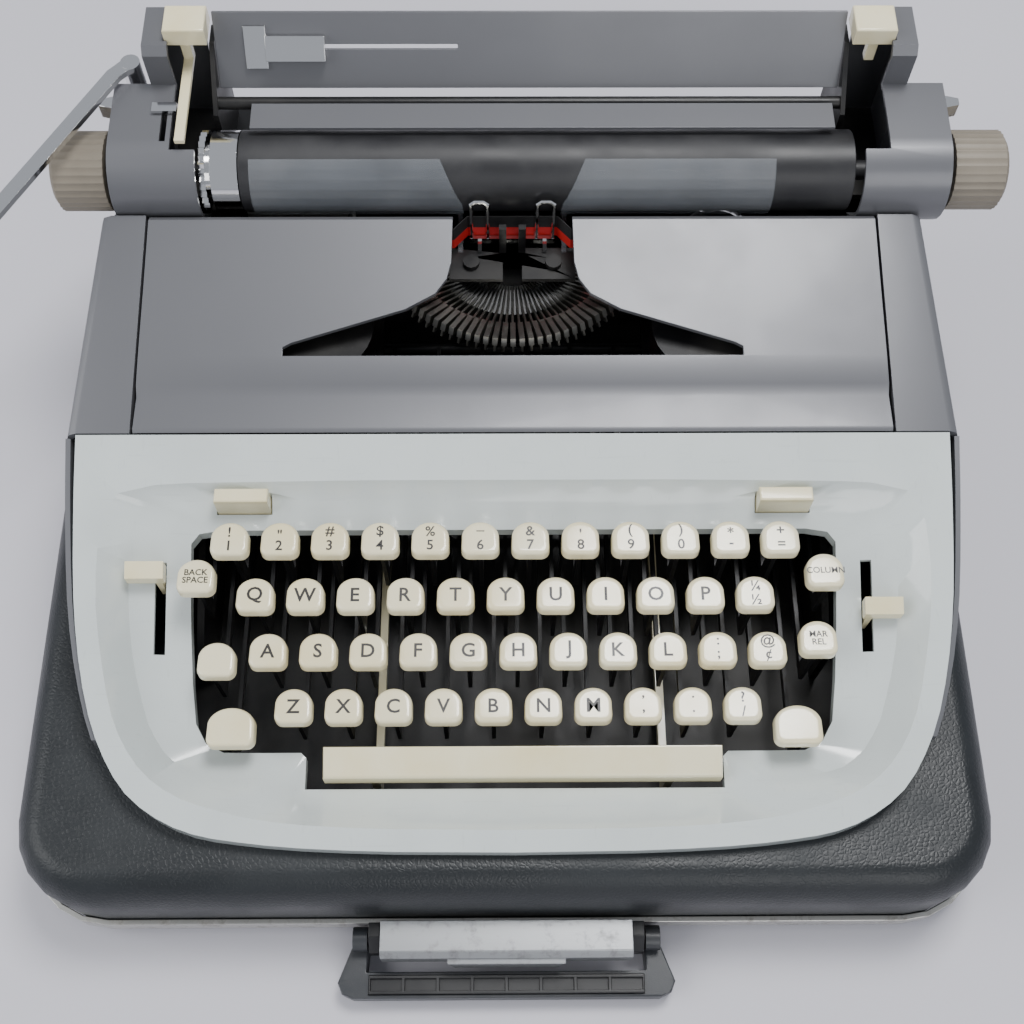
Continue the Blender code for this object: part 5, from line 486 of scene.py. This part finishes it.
def add_rod(bm, start, end, radius, sides=16, material=0):
    """A cylinder between two points, added to a bmesh."""
    start, end = Vector(start), Vector(end)
    turn = Vector((0, 0, 1)).rotation_difference(end - start).to_matrix().to_4x4()
    place = Matrix.Translation((start + end) / 2) @ turn
    made = bmesh.ops.create_cone(bm, cap_ends=True, segments=sides, radius1=radius, radius2=radius,
                                 depth=(end - start).length, matrix=place)["verts"]
    for face in {face for vert in made for face in vert.link_faces}:
        face.material_index = material


def text_mesh(words, height, middle, tilt=Matrix.Identity(4)):
    """Words as a flat bmesh whose middle is at a point, facing up unless tilted."""
    curve = bpy.data.curves.new("words", "FONT")
    curve.body = words
    curve.size = height * TYPE_SIZE_SHARE
    curve.align_x = "CENTER"
    curve.align_y = "CENTER"
    curve.space_line = TYPE_LINE_SHARE
    curve.offset = height * TYPE_WEIGHT_SHARE
    curve.resolution_u = 3
    item = bpy.data.objects.new("words", curve)
    bpy.context.scene.collection.objects.link(item)
    mesh = bpy.data.meshes.new_from_object(item.evaluated_get(bpy.context.evaluated_depsgraph_get()))
    bpy.data.objects.remove(item)
    bpy.data.curves.remove(curve)
    bm = bmesh.new()
    bm.from_mesh(mesh)
    bpy.data.meshes.remove(mesh)
    bmesh.ops.remove_doubles(bm, verts=bm.verts, dist=0.001 * MM)
    if bm.verts:
        lows = [min(vert.co[axis] for vert in bm.verts) for axis in (0, 1)]
        highs = [max(vert.co[axis] for vert in bm.verts) for axis in (0, 1)]
        centre = Vector(((lows[0] + highs[0]) / 2, (lows[1] + highs[1]) / 2, 0))
        bmesh.ops.translate(bm, vec=-centre, verts=bm.verts)
    bmesh.ops.transform(bm, matrix=Matrix.Translation(middle) @ tilt, verts=bm.verts)
    return bm


def absorb(bm, other):
    """Another bmesh added to this one, and freed."""
    mesh = bpy.data.meshes.new("part")
    other.to_mesh(mesh)
    other.free()
    bm.from_mesh(mesh)
    bpy.data.meshes.remove(mesh)


# Keys


def key_rim(width, depth, corner, inset, z):
    """Points round a key top: round at the back, flat in front with round corners."""
    half, back, front = width / 2 - inset, depth / 2 - inset, inset - depth / 2
    radius = corner - inset / 2
    points = []
    for step in range(6):
        angle = -math.pi / 2 + step * math.pi / 2 / 5
        points.append((half - radius + radius * math.cos(angle), front + radius + radius * math.sin(angle), z))
    for step in range(1, 18):
        angle = step * math.pi / 18
        points.append((half * math.cos(angle), back * math.sin(angle) ** 0.9, z))
    for step in range(6):
        angle = math.pi + step * math.pi / 2 / 5
        points.append((radius - half + radius * math.cos(angle), front + radius + radius * math.sin(angle), z))
    return points


def add_key_top(bm, x, y, top_z, width, depth):
    """A key top with a soft upper edge and a nearly flat face, added to a bmesh."""
    rows = []
    for inset, drop in KEY_LEVELS:
        ring = key_rim(width, depth, KEY_CORNER, inset, top_z + drop)
        rows.append([bm.verts.new((x + u, y + v, z)) for u, v, z in ring])
    for row in rows:
        for index, vert in enumerate(row):
            bm.edges.new((vert, row[(index + 1) % len(row)]))
    for lower, upper in zip(rows, rows[1:]):
        edges = [edge for row in (lower, upper) for vert in row for edge in vert.link_edges
                 if edge.other_vert(vert) in row]
        bmesh.ops.bridge_loops(bm, edges=list(set(edges)))
    middle = bm.verts.new((x, y, top_z - KEY_FACE_DROP))
    for index, vert in enumerate(rows[-1]):
        bm.faces.new((vert, rows[-1][(index + 1) % len(rows[-1])], middle))
    bm.faces.new(list(reversed(rows[0])))


def add_lever(bm, x, y, top_z, band_z, rear_y):
    """The stem and lever under one key, added to a bmesh with the second material."""
    half = LEVER_THICKNESS / 2
    low_z, high_z = band_z - LEVER_HEIGHT / 2, band_z + LEVER_HEIGHT / 2
    add_box(bm, (x - half, y - STEM_DEPTH / 2, low_z), (x + half, y + STEM_DEPTH / 2, top_z - KEY_HEIGHT), 1)
    add_box(bm, (x - half, y + STEM_DEPTH / 2, low_z), (x + half, rear_y, high_z), 1)


def legend_meshes(legend, x, y, top_z, sizes):
    """The sign or signs on one key."""
    if len(legend) == 1:
        return [text_mesh(legend, sizes.letter_height, (x, y + LETTER_SHIFT, top_z))]
    return [text_mesh(sign, sizes.symbol_height, (x, y + shift, top_z))
            for sign, shift in zip(legend, (UPPER_SIGN_SHIFT, LOWER_SIGN_SHIFT))]


def joint_place(name):
    """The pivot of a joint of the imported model."""
    for joint in frame["joints"]:
        if joint["name"] == name:
            return Vector(joint["pos_m"])
    raise ValueError(f"no joint named {name}")


def make_rows(sizes):
    """The four rows of letter keys, and the H key on its own body."""
    for name, stagger, legends in ROWS:
        low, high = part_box(name)
        pivot = joint_place(name.replace("_keys", "_press"))
        y = low.y + KEY_DEPTH / 2
        row_bm, row_ink = bmesh.new(), bmesh.new()
        for column, legend in enumerate(legends):
            x = FIRST_KEY_X + (stagger + column) * KEY_PITCH
            single = legend == "H"
            bm, ink = (bmesh.new(), bmesh.new()) if single else (row_bm, row_ink)
            add_key_top(bm, x, y, high.z, KEY_WIDTH, KEY_DEPTH)
            add_lever(bm, x, y, high.z, pivot.z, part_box("h_key")[1].y if single else pivot.y)
            for sign in legend_meshes(legend, x, y, high.z + LIFT, sizes):
                absorb(ink, sign)
            if single:
                finish_keys("h_key", bm, ink)
        add_rod(row_bm, (low.x, pivot.y, pivot.z), (high.x, pivot.y, pivot.z), ROW_SHAFT_RADIUS, 16, 1)
        finish_keys(name, row_bm, row_ink)


def finish_keys(node, bm, ink):
    """Key piece and its signs, both riding on the node's body; the key piece stands for the node."""
    bmesh.ops.recalc_face_normals(bm, faces=bm.faces)
    body = frame["nodes"][node]["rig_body"]
    keys = new_piece(f"{node}_tops", bm, body, "cream key", "blackened steel", slot="key_cream")
    keys.data.set_sharp_from_angle(angle=math.radians(40))
    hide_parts(node)
    if ink.verts:
        new_piece(f"{node}_signs", ink, body, "black ink")
    else:
        ink.free()


def make_side_keys(sizes):
    """Shift keys, shift lock and the named function keys."""
    low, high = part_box("shift_keys")
    pivot = joint_place("shift_press")
    bm = bmesh.new()
    middle = (low.x + high.x) / 2
    for side in (-1, 1):
        y = low.y + SHIFT_KEY_DEPTH / 2
        add_key_top(bm, middle + side * SHIFT_KEY_X, y, high.z, SHIFT_KEY_WIDTH, SHIFT_KEY_DEPTH)
        add_lever(bm, middle + side * SHIFT_LEVER_X, y, high.z, pivot.z, pivot.y)
    add_rod(bm, (low.x, pivot.y, pivot.z), (high.x, pivot.y, pivot.z), SIDE_SHAFT_RADIUS, 16, 1)
    finish_keys("shift_keys", bm, bmesh.new())
    for node, joint, words in (("shift_lock", "lock_press", ""),
                               ("back_space_key", "back_space_press", "BACK\nSPACE"),
                               ("column_key", "column_press", "COLUMN"),
                               ("margin_release_key", "margin_release_press", "MAR\nREL")):
        low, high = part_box(node)
        pivot = joint_place(joint)
        side = 1 if pivot.x > middle else -1
        x = (low.x + KEY_WIDTH / 2) if side > 0 else (high.x - KEY_WIDTH / 2)
        y = low.y + KEY_DEPTH / 2
        bm, ink = bmesh.new(), bmesh.new()
        add_key_top(bm, x, y, high.z, KEY_WIDTH, KEY_DEPTH)
        add_lever(bm, pivot.x, y, high.z, pivot.z, pivot.y)
        end_x = high.x if side > 0 else low.x
        add_rod(bm, (pivot.x, pivot.y, pivot.z), (end_x, pivot.y, pivot.z), SIDE_SHAFT_RADIUS, 16, 1)
        if words:
            absorb(ink, text_mesh(words, sizes.label_height, (x, y + WORD_SHIFT, high.z + LIFT)))
        finish_keys(node, bm, ink)


# Operators


class TypewriterOperator:
    """What every operator here shares."""

    bl_options = {"REGISTER", "UNDO"}

    def execute(self, context):
        self.build(context.scene.typewriter_sizes, context.scene.typewriter_finishes)
        return {"FINISHED"}


class TYPEWRITER_OT_finishes(TypewriterOperator, bpy.types.Operator):
    """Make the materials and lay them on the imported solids"""

    bl_idname = "typewriter.finishes"
    bl_label = "Finishes"

    def build(self, sizes, finishes):
        make_finishes(finishes)
        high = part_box("type_guide")[1]
        ribbon_finish(finishes, high.z - RIBBON_REACH + RED_BAND)
        clear_finish()
        for nodes, material in NODE_FINISHES:
            for node in nodes:
                mesh = frame["nodes"][node].data
                mesh.materials.clear()
                mesh.materials.append(bpy.data.materials[material])


NODE_FINISHES = (
    (("case_base",), "case covering"),
    (("case_trim",), "bright band"),
    (("handle_plate",), "plate metal"),
    (("rubber_foot_front_left", "rubber_foot_front_right", "rubber_foot_rear_left", "rubber_foot_rear_right"),
     "foot rubber"),
    (("handle_grip",), "grip plastic"),
    (("handle_lug_left", "handle_lug_right", "handle_insert"), "black plastic"),
    (("body_shell", "ribbon_cover", "carriage_end_left", "carriage_end_right", "paper_table", "paper_bail"),
     "grey paint"),
    (("keyboard_surround",), "white gloss"),
    (("number_row_keys", "upper_row_keys", "home_row_keys", "lower_row_keys", "h_key", "space_bar", "shift_keys",
      "shift_lock", "back_space_key", "column_key", "margin_release_key", "column_clear_key", "column_set_key",
      "touch_lever", "ribbon_selector", "margin_key_left", "margin_key_right"), "cream key"),
    (("main_frame", "type_guide", "ribbon_spool_left", "ribbon_spool_right", "carriage_bed"), "black frame"),
    (("type_segment",), "dark steel"),
    (("type_bars", "h_type_bar", "mainspring_drum"), "bright steel"),
    (("ribbon_vibrator", "bell", "ratchet_wheel", "paper_guide", "return_lever", "line_space_lever",
      "carriage_release_left", "carriage_release_right"), "chrome"),
    (("platen",), "platen rubber"),
    (("platen_knob_left", "platen_knob_right"), "knob plastic"),
    (("ribbon",), "ribbon cloth"),
    (("card_holder_left", "card_holder_right"), "clear plastic"),
)


# Solids with softened edges: node, material, slot, and radius as a share of the edge round
SHELL_FINISHES = (
    ("case_base", "case covering", "case_grain", CASE_EDGE_SHARE),
    ("case_trim", "bright band", "case_metal", 1),
    ("handle_plate", "plate metal", "case_metal", 1),
    ("handle_grip", "grip plastic", "grip_grey", 1),
    ("handle_insert", "black plastic", "black_plastic", 1),
    ("handle_lug_left", "black plastic", "black_plastic", 1),
    ("handle_lug_right", "black plastic", "black_plastic", 1),
    ("keyboard_surround", "white gloss", "white_gloss", 2),
    ("body_shell", "grey paint", "grey_paint", 1),
    ("ribbon_cover", "grey paint", "grey_paint", 1),
    ("carriage_end_left", "grey paint", "grey_paint", 2),
    ("carriage_end_right", "grey paint", "grey_paint", 2),
    ("paper_table", "grey paint", "grey_paint", 1),
    ("paper_bail", "grey paint", "grey_paint", 1),
    ("space_bar", "cream key", "key_cream", 1),
    ("margin_key_left", "cream key", "key_cream", 1),
    ("margin_key_right", "cream key", "key_cream", 1),
    ("column_clear_key", "cream key", "key_cream", 1),
    ("column_set_key", "cream key", "key_cream", 1),
    ("touch_lever", "cream key", "key_cream", 1),
    ("ribbon_selector", "cream key", "key_cream", 1),
    ("platen", "platen rubber", "platen_rubber", 1),
    ("ratchet_wheel", "chrome", "chrome", 1 / 2),
    ("platen_knob_left", "knob plastic", "knob_taupe", 1),
    ("platen_knob_right", "knob plastic", "knob_taupe", 1),
    ("return_lever", "chrome", "chrome", 1),
    ("line_space_lever", "chrome", "chrome", 1),
    ("paper_guide", "chrome", "chrome", 1),
    ("carriage_release_left", "chrome", "chrome", 1),
    ("carriage_release_right", "chrome", "chrome", 1),
    ("carriage_bed", "black frame", "frame_black", 1),
    ("type_guide", "black frame", "frame_black", 1),
    ("ribbon_vibrator", "chrome", "chrome", 1 / 3),
    ("type_segment", "dark steel", "frame_black", 1 / 4),
)


class TYPEWRITER_OT_shells(TypewriterOperator, bpy.types.Operator):
    """Soften the edges of the covers, the case and the carriage"""

    bl_idname = "typewriter.shells"
    bl_label = "Shells and covers"

    def build(self, sizes, finishes):
        for node, material, slot, share in SHELL_FINISHES:
            refined(node, material, slot, share * sizes.edge_round)


class TYPEWRITER_OT_keys(TypewriterOperator, bpy.types.Operator):
    """Make the key tops, their levers and their signs"""

    bl_idname = "typewriter.keys"
    bl_label = "Keys"

    def build(self, sizes, finishes):
        make_rows(sizes)
        make_side_keys(sizes)


class TYPEWRITER_OT_stage(TypewriterOperator, bpy.types.Operator):
    """Set the floor, the lights and the camera"""

    bl_idname = "typewriter.stage"
    bl_label = "Stage"

    def build(self, sizes, finishes):
        make_floor()
        make_lights()
        make_camera()


def make_floor():
    """A wide pale floor."""
    bm = bmesh.new()
    bmesh.ops.create_grid(bm, x_segments=1, y_segments=1, size=4.0)
    mesh = bpy.data.meshes.new("floor")
    bm.to_mesh(mesh)
    bm.free()
    pale = bpy.data.materials.new("pale floor")
    pale.use_nodes = True
    shader = pale.node_tree.nodes["Principled BSDF"]
    shader.inputs["Base Color"].default_value = rgb(0.62, 0.61, 0.66)
    shader.inputs["Roughness"].default_value = 0.6
    mesh.materials.append(pale)
    floor = bpy.data.objects.new("floor", mesh)
    bpy.context.scene.collection.objects.link(floor)


def make_lights():
    """Three soft lights, from above, the left and the front, in a pale room."""
    world = bpy.data.worlds.new("pale room")
    world.use_nodes = True
    world.node_tree.nodes["Background"].inputs["Color"].default_value = rgb(0.80, 0.84, 0.92)
    world.node_tree.nodes["Background"].inputs["Strength"].default_value = 0.55
    bpy.context.scene.world = world
    for name, place, target, size, power in (
            ("overhead", (0.25, 0.35, 1.35), (0, 0.05, 0.08), 0.45, 15.0),
            ("window", (-1.4, -0.3, 1.2), (0, 0, 0.1), 1.2, 16.0),
            ("front", (0.5, -1.5, 1.0), (0, 0, 0.1), 1.0, 9.0)):
        light = bpy.data.lights.new(name, "AREA")
        light.size = size
        light.energy = power
        item = bpy.data.objects.new(name, light)
        item.location = place
        item.rotation_euler = (Vector(target) - Vector(place)).to_track_quat("-Z", "Y").to_euler()
        bpy.context.scene.collection.objects.link(item)


def make_camera():
    """The camera at the photograph's place."""
    ahead = Vector((math.sin(CAMERA_YAW) * math.cos(CAMERA_TILT), math.cos(CAMERA_YAW) * math.cos(CAMERA_TILT),
                    -math.sin(CAMERA_TILT)))
    right = Vector((math.cos(CAMERA_YAW), -math.sin(CAMERA_YAW), 0))
    up = right.cross(ahead)
    rolled_right = right * math.cos(CAMERA_ROLL) + up * math.sin(CAMERA_ROLL)
    rolled_up = up * math.cos(CAMERA_ROLL) - right * math.sin(CAMERA_ROLL)
    data = bpy.data.cameras.new("camera")
    data.sensor_width = 36.0
    data.sensor_fit = "HORIZONTAL"
    data.lens = data.sensor_width * CAMERA_FOCAL_PIXELS / PICTURE_PIXELS
    data.clip_start = 0.01
    camera = bpy.data.objects.new("camera", data)
    turn = Matrix((rolled_right, rolled_up, -ahead)).transposed().to_4x4()
    camera.matrix_world = Matrix.Translation(CAMERA_PLACE) @ turn
    bpy.context.scene.collection.objects.link(camera)
    bpy.context.scene.camera = camera


class TYPEWRITER_PT_panel(bpy.types.Panel):
    """Lists the typewriter's operators and settings"""

    bl_label = "Typewriter"
    bl_idname = "TYPEWRITER_PT_panel"
    bl_space_type = "VIEW_3D"
    bl_region_type = "UI"
    bl_category = "Typewriter"

    def draw(self, context):
        for settings in (context.scene.typewriter_sizes, context.scene.typewriter_finishes):
            for key in settings.bl_rna.properties.keys():
                if key not in {"rna_type", "name"}:
                    self.layout.prop(settings, key)
        for operator in OPERATORS:
            self.layout.operator(operator.bl_idname)


OPERATORS = (TYPEWRITER_OT_finishes, TYPEWRITER_OT_shells, TYPEWRITER_OT_keys, TYPEWRITER_OT_stage)
CLASSES = (TypewriterFinishes, TypewriterSizes) + OPERATORS + (TYPEWRITER_PT_panel,)


def register():
    """Register the classes and hang the settings on the scene."""
    for item in CLASSES:
        bpy.utils.register_class(item)
    bpy.types.Scene.typewriter_finishes = bpy.props.PointerProperty(type=TypewriterFinishes)
    bpy.types.Scene.typewriter_sizes = bpy.props.PointerProperty(type=TypewriterSizes)


def unregister():
    """Undo what register() did."""
    del bpy.types.Scene.typewriter_sizes
    del bpy.types.Scene.typewriter_finishes
    for item in reversed(CLASSES):
        bpy.utils.unregister_class(item)


def main():
    """Build the typewriter."""
    register()
    bpy.ops.typewriter.finishes()
    bpy.ops.typewriter.shells()
    bpy.ops.typewriter.keys()
    bpy.ops.typewriter.stage()


if __name__ == "__main__":
    main()
